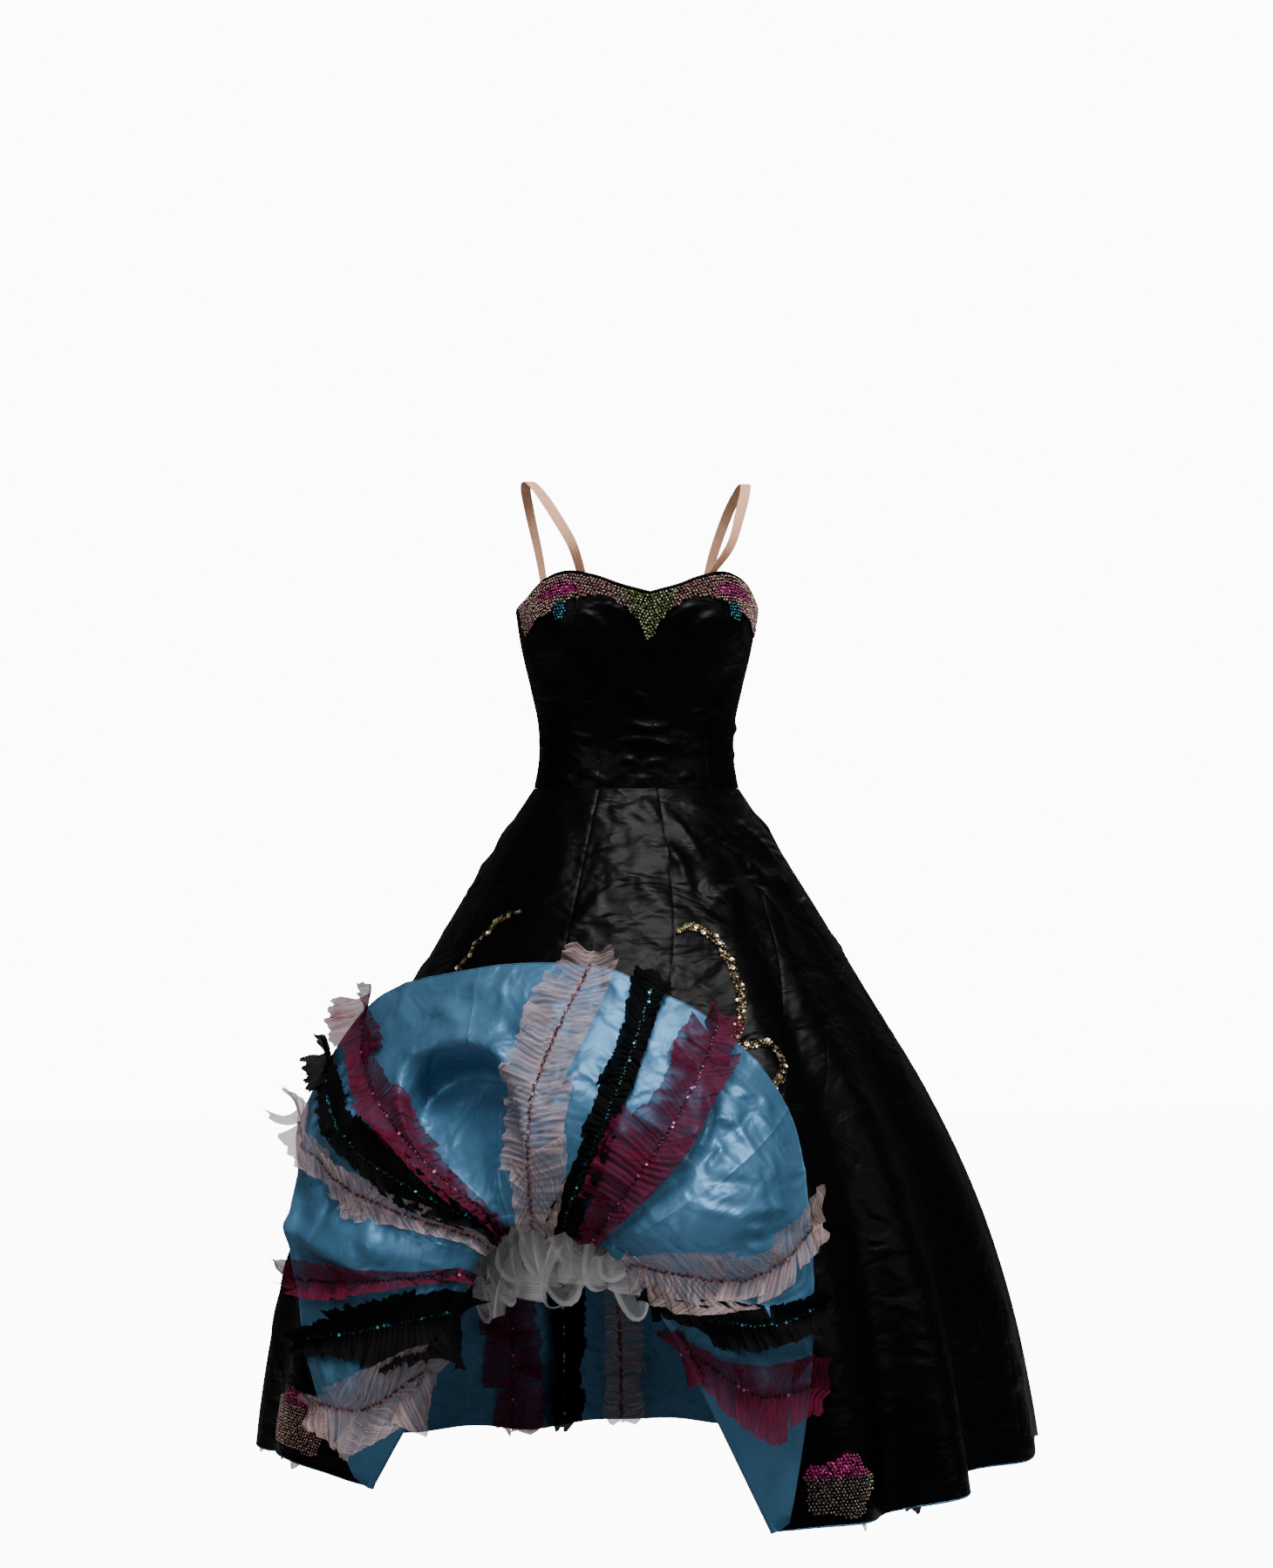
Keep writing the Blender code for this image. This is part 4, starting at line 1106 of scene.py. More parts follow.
def ruffle_strip(kind, line, start, end, side, widest, at_ends, draw):
    """One strip of gathered net, fanned out from its sewn edge on the ruffle's line."""
    raised, hem = line.last_row > 1, line.lengths[-1]
    count = max(4, int((end - start) / (RUFFLE_STEP if raised else HIDDEN_RUFFLE_STEP)))
    s, t = np.meshgrid(np.linspace(start, end, count), RUFFLE_ACROSS, indexing="ij")
    phase = [draw.uniform(0.0, 6.28) for _ in range(6)]
    ragged = kind.ragged * ragged_edge(count, draw)
    width = draw.uniform(*STRIP_WIDTHS) * (1 + ripple(EDGE_RIPPLE, s, phase[0]) + ragged)
    room = gore_metres(np.full_like(s, line.column), np.interp(s, line.lengths, line.rows))
    half = np.clip(RUFFLE_SHARE_OF_GORE * room, RUFFLE_LEAST_HALF_WIDTH, widest)
    half = half * width * mix(*at_ends, ramp(hem - s, HEM_WIDTH_FADE))
    last = end > hem
    fan = draw.uniform(*(LAST_STRIP_FAN if last else STRIP_FAN))
    lean = draw.uniform(*STRIP_LEAN) * (LAST_STRIP_LEAN if last else 1.0)
    along = s + ((s - (start + end) / 2) * fan + half * lean) * t
    gathers = 2 * math.pi * s / GATHER + ripple(GATHER_RIPPLE, s, phase[2])
    along = along + t * GATHER * GATHER_SWAY * np.sin(gathers / SWAY_GATHERS + phase[3])
    near_hem = np.clip(1 - (hem - s) / HEM_STAND_FADE, 0.0, 1.0) if raised else 0.0
    at_hem = RUFFLE_STAND_AT_RIGHT_HEM if line.column < 0 else RUFFLE_STAND_AT_LEFT_HEM
    stand = draw.uniform(*RUFFLE_STAND) * (1 + ripple(STAND_RIPPLE, s, phase[4])) + at_hem * near_hem
    stand = np.radians(stand) * t**STAND_GROWTH
    middle, edge = gather_lift(s, t, gathers, phase)
    lift = STRIP_CLEARANCE + half * t * np.sin(stand) + SEAM_GATHER * (1 + np.sin(gathers)) + middle + edge
    along = np.maximum(along, 0.0)
    if last:
        rounded = end - ROUNDED_END * t[:1] ** 2 + ROUNDED_END_RIPPLE * np.sin(7 * t[:1] + phase[1])
        along = start + (along - start) * (rounded - start) / (along[-1:] - start)
    points = laid_on_lining(line, along, side * t * half * np.cos(stand), lift)
    return points if side > 0 else points[:, ::-1]


def net_ruffle(kind, index):
    """Strips of net gathered along one line of the lining, with sequins over their seam."""
    raised, which = index in RAISED_GORES, (kind.name, index)
    line = ruffle_line(index + kind.column, 3.0 if raised else 1.0, RUFFLE_BOWS.get(which, 0.0))
    finish_at = line.lengths[-1] + (RUFFLE_PAST_RAISED_HEM if raised else RUFFLE_PAST_HANGING_HEM)
    widest = RUFFLE_HALF_WIDTH_IN_FOLDS if index == DEEPLY_FOLDED_GORE else kind.half_width
    at_ends = RUFFLE_WIDTHS.get(which, (1.0, 1.0))
    draw = random.Random(RUFFLE_SEEDS * index + len(kind.name))
    strips = []
    for side in (-1, 1):
        start = 0.0
        while start < finish_at:
            end = min(finish_at, start + draw.uniform(*STRIP_LENGTH))
            end = finish_at if finish_at - end < STRIP_LENGTH[0] / 2 else end
            strips.append(ruffle_strip(kind, line, start, end, side, widest, at_ends, draw))
            start = end
    name = f"{kind.name}_{gore_name(index)}"
    ruffle = joined_sheets(f"net_{name}", strips, kind.material)
    flat, area = cut_of_strips(strips)
    ride_on_dress(ruffle, [f"ruffle_{name}"])
    sequin_line(kind, line, draw)


SEQUIN_NUDGES = (-0.0006, 0.0006)
SEQUIN_SIDE_NUDGES = (-0.0012, 0.0012)
SEQUIN_LIFT = 0.0034


def sequin_line(kind, line, draw):
    """Small sequins sewn end to end over a ruffle's gathers."""
    s = np.arange(0.0, line.lengths[-1], kind.sequin_step)
    s = s + np.array([draw.uniform(*SEQUIN_NUDGES) for _ in s])
    off = np.array([draw.uniform(*SEQUIN_SIDE_NUDGES) for _ in s])
    points = laid_on_lining(line, s, off, np.full_like(s, SEQUIN_LIFT))
    outs = unit(points - laid_on_lining(line, s, off, np.zeros_like(s)))
    row = np.interp(s, line.lengths, line.rows)
    # In that stretch every sequin takes the painted glint colour.
    bright = (row > BRIGHT_SEQUINS.row) & (row < BRIGHT_SEQUINS.end_row)
    bright = bright & (line.column == BRIGHT_SEQUINS.gore)
    sew_on(kind.sequins, points[~bright], outs[~bright], SMALL_SEQUIN)
    sew_on("bright_cyan_sequins", points[bright], outs[bright], SMALL_SEQUIN)


# Bodice
BODICE_COLUMNS_A_GORE = 26
BODICE_ROWS = 84


def bodice_panel(panel, side):
    """One panel of the bodice, from its top edge to the waist seam."""
    side_name = "left" if side > 0 else "right"
    start, end = (panel.start, panel.end) if side > 0 else (-panel.end, -panel.start)
    columns = spaced(start, end, int(BODICE_COLUMNS_A_GORE * (panel.end - panel.start)))
    gore, share = np.meshgrid(columns, np.linspace(0.0, 1.0, BODICE_ROWS))
    smooth = bodice_surface(gore, share)
    out = bodice_normal(gore, share)
    face = smooth + out * bodice_relief(gore, share, smooth, (start, end))[..., None]
    flat, area = cut_of(smooth)
    made = thin_wall(f"bodice_satin_{panel.name}_{side_name}", face, face - out * BODICE_WALL, BLACK_SATIN)
    ride_on_dress(made, [f"bodice_{panel.name}_{side_name}"])


def strap_seat(gore):
    """A point just clear of the middle of the bodice's top edge."""
    gore = np.array([gore])
    point = bodice_surface(gore, 0.0) - bodice_normal(gore, np.zeros(1)) * BODICE_WALL / 2
    return point[0] + 3 * SEAM_GAP * UP


STRAP_ROWS = 72
STRAP_COLUMNS = 9
STRAP_EDGE_ROUNDING = 0.55
INSIDE_STRAPS = np.array((0.0, 0.0, 0.2))


def strap(side):
    """A flat elastic strap from the cup's peak over the shoulder to the back's top edge."""
    ends = (-STRAP_END_HALF_GORE, STRAP_END_HALF_GORE)
    front = [strap_seat(side * STRAP_FRONT_GORE + offset) for offset in ends]
    back = [strap_seat(side * STRAP_BACK_GORE - offset) for offset in ends]
    over = [np.array((side * s.out, s.back, s.up)) for s in STRAP_OVER_SHOULDER]
    path = [(front[0] + front[1]) / 2, *over, (back[0] + back[1]) / 2]
    edges = [front]
    for k, (point, given) in enumerate(zip(over, STRAP_OVER_SHOULDER), start=1):
        way = unit(path[k + 1] - path[k - 1])
        turn = math.radians(given.turn)
        across = np.array((math.cos(turn), side * math.sin(turn), 0.0))
        across = unit(across - way * across.dot(way)) * (STRAP_WIDTH / 2)
        edges.append([point - across, point + across])
    edges.append(back)
    fine = smooth_rows(np.array(edges), STRAP_ROWS)
    shares = np.linspace(0.0, 1.0, STRAP_COLUMNS)[None, :, None]
    middle = fine[:, :1] * (1 - shares) + fine[:, 1:] * shares
    down, across = np.gradient(middle, axis=0), np.gradient(middle, axis=1)
    out = unit(np.cross(down, across))
    out = out * np.where(dot(out, middle - INSIDE_STRAPS).mean() < 0, -1, 1)
    rounded = STRAP_WALL / 2 * (1 - STRAP_EDGE_ROUNDING * np.abs(2 * shares - 1) ** 6)
    grids = (middle + out * rounded, middle - out * rounded)
    if dot(np.cross(down, across), out).mean() < 0:
        grids = (grids[0][:, ::-1], grids[1][:, ::-1])
    side_name = "left" if side > 0 else "right"
    made = thin_wall(f"elastic_strap_{side_name}", *grids, ELASTIC)
    flat, area = cut_of(middle)
    ride_on_dress(made, [f"strap_{side_name}"])


def smooth_rows(rows, count):
    """Rows of points read evenly along a smooth curve through the given ones."""
    places = np.linspace(0, len(rows) - 1, count)
    i = np.clip(places.astype(int), 0, len(rows) - 2)
    t = (places - i)[:, None, None]
    before, after = rows[np.maximum(i - 1, 0)], rows[np.minimum(i + 2, len(rows) - 1)]
    here, then = rows[i], rows[i + 1]
    return (
        here * (1 + 2 * t) * (1 - t) ** 2
        + then * t * t * (3 - 2 * t)
        + (then - before) / 2 * t * (1 - t) ** 2
        - (after - here) / 2 * t * t * (1 - t)
    )


# Petticoat
FRILL_DEPTH = 0.115
FRILL_FLARE = 0.022
FRILL_WAVES = 34
LOOPS = 150
LOOP_ROOM = 0.357
LOOP_ROOM_GROWTH = 0.25
LOOP_TIERS = table(
    "name above below seed",
    ("upper", 0.004, 0.045, 12), ("lower", 0.04, 0.088, 31),
)


def around_and_down(columns, rows):
    """Angles all round, and shares of the way down."""
    return np.meshgrid(np.linspace(0.0, 360.0, columns, endpoint=False), np.linspace(0.0, 1.0, rows))


def petticoat_ring(name, points, node):
    """A closed ring of grey net, whose streaks of denser net with painted light and shade run down it."""
    ring = thin_sheet(name, points, GREY_NET, closed=True, uv=cloth_uv(points)[..., ::-1])
    flat, area = cut_of(points, closed=True)
    ride_on_dress(ring, [node])


PETTICOAT_COLUMNS = 240
PETTICOAT_ROWS = 40
PETTICOAT_PLEATS = 31
PETTICOAT_PLEAT = 0.006


def petticoat_upper():
    """The plain upper part of the petticoat, which lies on the skirt at the waist."""
    angle, share = around_and_down(PETTICOAT_COLUMNS, PETTICOAT_ROWS)
    drop = mix(0.0, PETTICOAT[-1].drop, share)
    top = on_form(BELL, angle, drop, -PETTICOAT_INSET - PETTICOAT_EASE)
    onto = np.clip(drop / PETTICOAT[0].drop, 0.0, 1.0)[..., None]
    points = mix(top, on_form(PETTICOAT, angle, drop, 0.0), onto)
    points[..., :2] *= 1 + (PETTICOAT_PLEAT * share * np.sin(np.radians(angle * PETTICOAT_PLEATS)))[..., None]
    petticoat_ring("petticoat_upper", points, "petticoat_skirt")


FRILL_WAVE_COLUMNS = 16
FRILL_ROWS = 22
FRILL_WAVE = 0.012
FRILL_STAND = 0.002
FRILL_SWING = 0.060
FRILL_GROWTH = 0.6
# How the waves wander round the ring: height, count and start of each slow sine
FRILL_WANDER = ((0.5, 5, 1.0), (0.35, 11, 2.0))
# How uneven the frill's foot is, in slow waves, with its own waves, and in quick ones
FRILL_UNEVENNESS = (0.07, 0.08, 0.06)
SLOW_FOOT_WAVES = 7
QUICK_FOOT_WAVES = 23


def petticoat_frill():
    """The gathered frill under it, whose waves wander and swing to and fro."""
    angle, share = around_and_down(FRILL_WAVES * FRILL_WAVE_COLUMNS, FRILL_ROWS)
    turn = np.radians(angle)
    wander = sum(height * np.sin(turn * count + start) for height, count, start in FRILL_WANDER)
    beat = FRILL_WAVES * turn + wander
    growth = share**FRILL_GROWTH
    radius = PETTICOAT[-1].radius + FRILL_FLARE * share + growth * (FRILL_STAND + FRILL_WAVE * np.cos(beat))
    swing = turn + growth * FRILL_SWING * np.sin(2 * beat)
    slow, own, quick = FRILL_UNEVENNESS
    uneven = slow * np.sin(turn * SLOW_FOOT_WAVES) + own * np.sin(beat + 1.0)
    uneven = uneven + quick * np.sin(turn * QUICK_FOOT_WAVES)
    drop = PETTICOAT[-1].drop + FRILL_DEPTH * share * (1 + uneven)
    points = np.stack([radius * np.sin(swing), -radius * np.cos(swing), -drop], -1)
    petticoat_ring("petticoat_gathered_frill", points, "petticoat_frill")


# One loop of ribbon: where it is caught up, how long and wide it hangs, and how it leans, turns and twists
LOOP_STAND = (0.006, 0.022)
LOOP_YAW = (-35.0, 35.0)
LOOP_SPAN = (0.024, 0.052)
LOOP_HANG = (0.040, 0.078)
LOOP_LEAN = (-0.7, 0.7)
LOOP_SWAY = (-0.012, 0.012)
LOOP_DISH = 0.004
LOOP_TILT = (-50.0, 50.0)
LOOP_TWIST = 0.6
LOOP_ENDS = (-0.12, 1.12)
LOOP_ROUND = 1.25
LOOP_TOP = 0.62
LOOP_HEIGHT = 1.37
LOOP_ROWS = 24
LOOP_COLUMNS = 4


def petticoat_loop(tier, k, draw):
    """One loop of net ribbon, kept inside the skirt."""
    turn = 2 * math.pi * (k + draw.uniform(-0.5, 0.5)) / LOOPS
    below = draw.uniform(tier.above, tier.below)
    radius = PETTICOAT[-1].radius + FRILL_FLARE * below / tier.below + draw.uniform(*LOOP_STAND)
    top = PETTICOAT[-1].drop + below
    middle = np.array((radius * math.sin(turn), -radius * math.cos(turn), -top))
    yaw = turn + math.radians(draw.uniform(*LOOP_YAW))
    sideways = np.array((math.cos(yaw), math.sin(yaw), 0.0))
    inwards = np.array((-math.sin(yaw), math.cos(yaw), 0.0))
    rows, columns = np.linspace(*LOOP_ENDS, LOOP_ROWS), np.linspace(-1.0, 1.0, LOOP_COLUMNS)
    u, v = np.meshgrid(rows, columns, indexing="ij")
    span, hang = draw.uniform(*LOOP_SPAN), draw.uniform(*LOOP_HANG)
    lean = draw.uniform(*LOOP_LEAN)
    around = math.pi * (u - 0.5) * LOOP_ROUND
    across = np.sin(around) * span / 2 + lean * 0.5 * hang * np.cos(around)
    down = hang * (np.cos(around) - math.cos(math.pi * LOOP_TOP)) / LOOP_HEIGHT
    depth = draw.uniform(*LOOP_SWAY) * np.sin(around) + LOOP_DISH * np.cos(2 * around)
    centre = middle + across[..., None] * sideways - down[..., None] * UP
    centre = centre + depth[..., None] * inwards
    beside = unit(np.cross(np.gradient(centre, axis=0), inwards))
    tilt = math.radians(draw.uniform(*LOOP_TILT)) + LOOP_TWIST * np.sin(around + draw.uniform(0.0, 6.0))
    way = beside * np.cos(tilt)[..., None] + inwards * np.sin(tilt)[..., None]
    points = centre + way * (v * RIBBON_HALF_WIDTH)[..., None]
    reach = np.linalg.norm(points[..., :2], axis=-1)
    room = LOOP_ROOM + LOOP_ROOM_GROWTH * (-points[..., 2] - PETTICOAT[-1].drop)
    points[..., :2] *= np.minimum(1.0, room / reach)[..., None]
    return points


def petticoat_loops(tier):
    """Net ribbon caught up in loops all round the frill and below it."""
    draw = random.Random(tier.seed)
    strips = [petticoat_loop(tier, k, draw) for k in range(LOOPS)]
    loops = joined_sheets(f"petticoat_{tier.name}_loops", strips, RIBBON_NET)
    flat, area = cut_of_strips(strips)
    ride_on_dress(loops)


# Beads and sequins
NECK_BAND = table(
    "angle depth",
    (0, 0.058), (3, 0.048), (6, 0.037), (9, 0.029), (13, 0.025), (20, 0.022), (32, 0.032), (43, 0.045),
    (59, 0.043), (69, 0.041), (75, 0.036), (77.5, 0),
)

BEAD_PITCH = 0.0041
BEAD_LIFT = 0.0008
ROW_PITCH = 0.87
BEAD_NUDGE = 0.16


def honeycomb(half_width, half_height, draw):
    """Places in staggered rows, each one a little off, over a rectangle about its middle."""
    ys = np.arange(-half_height, half_height, BEAD_PITCH * ROW_PITCH)
    xs = np.arange(-half_width, half_width, BEAD_PITCH)
    x, y = np.meshgrid(xs, ys)
    x = x + (np.arange(len(ys)) % 2)[:, None] * BEAD_PITCH / 2
    spread = BEAD_NUDGE * BEAD_PITCH
    nudge = np.array([draw.uniform(-spread, spread) for _ in range(2 * x.size)]).reshape(2, -1)
    return x.ravel() + nudge[0], y.ravel() + nudge[1]


def fill_areas(points, outs, kept, *areas):
    """Beads of each area's own colour, where they are kept."""
    for kind, chosen in areas:
        bead_on_foil(kind, points[chosen & kept], outs[chosen & kept])


def bodice_place(angle, depth, lift):
    """Points over the bodice, at a depth under its top edge, and the way out there."""
    height = neck_height(angle) - depth
    point = bodice_point(angle, height)
    across = bodice_point(angle + 0.5, height) - bodice_point(angle - 0.5, height)
    up = bodice_point(angle, height + 0.001) - bodice_point(angle, height - 0.001)
    out = unit(np.cross(across, up))
    relief = BODICE_CREASE_GROWTH * crease_relief(point, BODICE_CREASES, body_metres_a_degree)
    return point + out * (relief + lift)[..., None], out


NECKLINE_SEED = 4
NECK_EDGE = 0.0056
BEADED_HALF_LENGTH = 0.235
BEADED_HALF_DEPTH = 0.034
GIRTH_AT_CUPS = 1.12
LEAF_HALF_ANGLE = 13.0
LEAF_LENGTH = 0.052
LEAF_TAPER = 1.18
LEAF_TIP = 0.15
Patch = namedtuple("Patch", "angle half_angle depth half_depth")
BUD = Patch(39.5, 3.6, 0.0465, 0.0115)
PETAL = Patch(43.5, 12.5, 0.021, 0.0080)


def neckline_beads():
    """A beaded band with a leaf in the middle, and a petal and a bud on each cup."""
    x, y = honeycomb(BEADED_HALF_LENGTH, BEADED_HALF_DEPTH, random.Random(NECKLINE_SEED))
    side = x / (body_metres_a_degree(-NECKLINE[2].height) * GIRTH_AT_CUPS)
    depth = y + BEADED_HALF_DEPTH + NECK_EDGE
    away = np.abs(side)
    bud, petal = (
        np.hypot((away - patch.angle) / patch.half_angle, (depth - patch.depth) / patch.half_depth) < 1.0
        for patch in (BUD, PETAL)
    )
    leaf = away < LEAF_HALF_ANGLE * np.clip(LEAF_TAPER - depth / LEAF_LENGTH, LEAF_TIP, 1.0)
    kept = ((depth < read(NECK_BAND, "angle", "depth", away)) | bud) & (away < NECK_BAND[-1].angle)
    points, outs = bodice_place(side + TOP_EDGE_TURN, depth, BEAD_LIFT)
    fill_areas(
        points,
        outs,
        kept,
        ("green_beads", leaf),
        ("magenta_beads", petal & ~leaf),
        ("teal_beads", bud & ~petal & ~leaf),
        ("rose_beads", ~leaf & ~petal & ~bud),
    )


HEM_FLOWERS = table(
    "gore row half_width half_height lean ground crown_from crown_to crown_foot leaf_from",
    (2.17, 0.948, 0.047, 0.038, 0.4, "brown_beads", -1, 1, -0.3, 0.72),
    (-2.31, 0.936, 0.066, 0.04, 1.1, "rose_beads", -0.3, 0.55, -0.55, 2),
)

FLOWER_PETALS = 5
FLOWER_SCALLOP = 0.10
FLOWER_METRES_A_ROW = 0.8
LAST_FLOWER_ROW = 0.996


def hem_flower(flower):
    """A round beaded flower at the hem, with a rim of petals."""
    x, y = honeycomb(flower.half_width, flower.half_height, random.Random(int(1000 * flower.row)))
    around = np.arctan2(y / flower.half_height, x / flower.half_width)
    reach = np.hypot(x / flower.half_width, y / flower.half_height)
    kept = reach < 1.0 - FLOWER_SCALLOP + FLOWER_SCALLOP * np.cos(FLOWER_PETALS * around + flower.lean)
    x, y = x[kept], y[kept]
    row = flower.row + y / FLOWER_METRES_A_ROW
    gore = flower.gore + x / gore_metres(np.full_like(row, flower.gore), row)
    face, outs = skirt_face(gore, row, 1.0, 0.0)
    x, y = x / flower.half_width, y / flower.half_height
    crown = (x > flower.crown_from) & (x < flower.crown_to) & (y < flower.crown_foot)
    leaf = (x > flower.leaf_from) & ~crown
    fill_areas(
        face + outs * BEAD_LIFT,
        outs,
        row < LAST_FLOWER_ROW,
        ("magenta_beads", crown),
        ("green_beads", leaf),
        (flower.ground, ~crown & ~leaf),
    )


SCROLL = table(
    "gore row",
    (0.03, 0.345), (0.2, 0.335), (0.38, 0.362), (0.5, 0.418), (0.57, 0.482), (0.58, 0.545), (0.56, 0.612),
    (0.64, 0.59), (0.8, 0.58), (0.92, 0.606), (0.95, 0.645), (0.89, 0.676), (0.8, 0.664),
)

SCROLL_ROWS = (-0.0036, 0.0, 0.0036)
SCROLL_POINTS = 400
MIRRORED_SCROLL_SHIFT = (-1.5, -0.095)
ROW_STAGGER = 0.0015
SEQUIN_OVERLAP = 0.86
SCROLL_TOP_TAPER = 0.02
SCROLL_FOOT_TAPER = 0.03
SCROLL_LEAST_SHARE = 0.3
SCROLL_LIFT = 0.0012
MIDDLE_ROW_LIFT = 0.0004
BIG_SEQUIN_EVERY = 9
BIG_SEQUIN_LIFT = 0.0008


def scroll(mirrored):
    """A stem of gold sequins that curls over at its foot, sewn in three rows."""
    control = np.array([(stem.gore, stem.row) for stem in SCROLL])
    if mirrored:
        control = control * (-1, 1) + MIRRORED_SCROLL_SHIFT
    gore, row = smooth_rows(control[:, None, :], SCROLL_POINTS)[:, 0].T
    length = arc_lengths(skirt(gore, row), 0)
    for k, off in enumerate(SCROLL_ROWS):
        s = np.arange(ROW_STAGGER * k, length[-1], SEQUIN * SEQUIN_OVERLAP)
        points, outs = skirt_face(np.interp(s, length, gore), np.interp(s, length, row), 1.0, 0.0)
        beside = unit(np.cross(outs, np.gradient(points, axis=0)))
        narrowed = np.clip(s / SCROLL_TOP_TAPER, SCROLL_LEAST_SHARE, 1.0)
        narrowed = narrowed * np.clip((length[-1] - s) / SCROLL_FOOT_TAPER, SCROLL_LEAST_SHARE, 1.0)
        lift = SCROLL_LIFT + MIDDLE_ROW_LIFT * (off == 0.0)
        points = points + beside * (off * narrowed)[:, None] + outs * lift
        # Every ninth sequin is bigger, lifted a little, and painted bright gold as a painted glint.
        big = (np.arange(len(s)) + 3 * k) % BIG_SEQUIN_EVERY == 0
        sew_on("gold_sequins", points[~big], outs[~big], SEQUIN)
        sew_on("bright_gold_sequins", points[big] + outs[big] * BIG_SEQUIN_LIFT, outs[big], BIG_SEQUIN)


BEAD_SIDES = 6
BEAD_RINGS = ((0.3535534, 0.3535534), (0.5, 0.0), (0.3535534, -0.3535534))
BEAD_ENDS = (0.5, -0.5)


def bead_form():
    """A round bead with its hole closed, one metre across."""
    made = bmesh.new()
    turns = [2 * math.pi * k / BEAD_SIDES for k in range(BEAD_SIDES)]
    rings = [
        [made.verts.new((radius * math.sin(a), radius * math.cos(a), height)) for a in turns]
        for radius, height in BEAD_RINGS
    ]
    top, foot = (made.verts.new((0.0, 0.0, height)) for height in BEAD_ENDS)
    for k in range(BEAD_SIDES):
        made.faces.new((rings[0][k - 1], top, rings[0][k]))
        made.faces.new((foot, rings[-1][k - 1], rings[-1][k]))
        for upper, lower in zip(rings, rings[1:]):
            made.faces.new((lower[k - 1], upper[k - 1], upper[k], lower[k]))
    return form_object("bead_form", made, True)


SEQUIN_SIDES = 8
SEQUIN_RIM = (0.5, 0.10)
SEQUIN_HOLE = (0.12, 0.0)


def sequin_form():
    """A cupped sequin with a hole, one metre across."""
    made = bmesh.new()
    turns = [2 * math.pi * k / SEQUIN_SIDES for k in range(SEQUIN_SIDES)]
    rim, hole = (
        [made.verts.new((radius * math.cos(a), radius * math.sin(a), height)) for a in turns]
        for radius, height in (SEQUIN_RIM, SEQUIN_HOLE)
    )
    for k in range(SEQUIN_SIDES):
        made.faces.new((rim[k - 1], rim[k], hole[k], hole[k - 1]))
    return form_object("sequin_form", made, False)


def form_object(name, made, smooth):
    mesh = bpy.data.meshes.new(name)
    made.to_mesh(mesh)
    made.free()
    if smooth:
        mesh.shade_smooth()
    return place_in_scene(name, mesh)


def sewing_tree():
    """Geometry nodes that put a copy of a form on each point, facing out, and join them to one mesh."""
    tree = bpy.data.node_groups.new("sewn_on", "GeometryNodeTree")
    for name, kind in (
        ("Geometry", "NodeSocketGeometry"),
        ("Form", "NodeSocketObject"),
        ("Material", "NodeSocketMaterial"),
        ("Tilt", "NodeSocketFloat"),
        ("Size Spread", "NodeSocketFloat"),
        ("Seed", "NodeSocketInt"),
    ):
        tree.interface.new_socket(name, in_out="INPUT", socket_type=kind)
    tree.interface.new_socket("Geometry", in_out="OUTPUT", socket_type="NodeSocketGeometry")

    def add(kind, **settings):
        node = tree.nodes.new(kind)
        for field, value in settings.items():
            setattr(node, field, value)
        return node

    def put(node, socket, value):
        found = next(s for s in node.inputs if s.name == socket and s.enabled)
        if isinstance(value, bpy.types.NodeSocket):
            tree.links.new(value, found)
        else:
            found.default_value = value

    def result(node):
        return next(s for s in node.outputs if s.enabled)

    def chance(kind, low, high, apart):
        node = add("FunctionNodeRandomValue", data_type=kind)
        put(node, "Min", low)
        put(node, "Max", high)
        seed = add("ShaderNodeMath", operation="ADD")
        tree.links.new(given["Seed"], seed.inputs[0])
        seed.inputs[1].default_value = apart
        put(node, "Seed", seed.outputs[0])
        return result(node)

    def combine(operation, first, second, kind="ShaderNodeMath"):
        node = add(kind, operation=operation)
        for k, value in enumerate((first, second)):
            socket = node.inputs["Scale"] if operation == "SCALE" and k == 1 else node.inputs[k]
            if isinstance(value, bpy.types.NodeSocket):
                tree.links.new(value, socket)
            else:
                socket.default_value = value
        return result(node)

    given = add("NodeGroupInput").outputs
    out = add("GeometryNodeInputNamedAttribute", data_type="FLOAT_VECTOR")
    put(out, "Name", "out")
    size = add("GeometryNodeInputNamedAttribute", data_type="FLOAT")
    put(size, "Name", "size")
    any_way = chance("FLOAT_VECTOR", (-1, -1, -1), (1, 1, 1), 1)
    shake = combine("SCALE", any_way, given["Tilt"], "ShaderNodeVectorMath")
    way = combine("ADD", result(out), shake, "ShaderNodeVectorMath")
    spin = add("ShaderNodeCombineXYZ")
    put(spin, "Z", chance("FLOAT", 0.0, 2 * math.pi, 2))
    turned = add("FunctionNodeEulerToRotation")
    put(turned, "Euler", result(spin))
    facing = add("FunctionNodeAlignRotationToVector", axis="Z")
    put(facing, "Rotation", result(turned))
    put(facing, "Vector", way)
    spread = combine("MULTIPLY", chance("FLOAT", -1.0, 1.0, 3), given["Size Spread"])
    scale = combine("MULTIPLY", result(size), combine("ADD", spread, 1.0))
    form = add("GeometryNodeObjectInfo")
    put(form, "Object", given["Form"])
    copies = add("GeometryNodeInstanceOnPoints")
    put(copies, "Points", given["Geometry"])
    put(copies, "Instance", form.outputs["Geometry"])
    put(copies, "Rotation", result(facing))
    put(copies, "Scale", scale)
    tinted = add("GeometryNodeStoreNamedAttribute", data_type="FLOAT", domain="INSTANCE")
    put(tinted, "Geometry", result(copies))
    put(tinted, "Name", "tint")
    put(tinted, "Value", chance("FLOAT", 0.0, 1.0, 4))
    joined = add("GeometryNodeRealizeInstances")
    put(joined, "Geometry", result(tinted))
    finished = add("GeometryNodeSetMaterial")
    put(finished, "Geometry", result(joined))
    put(finished, "Material", given["Material"])
    tree.links.new(result(finished), add("NodeGroupOutput").inputs["Geometry"])
    return tree


FORM_TILTS = {"beads": 0.10, "sequins": 0.30}
SIZE_SPREAD = 0.10


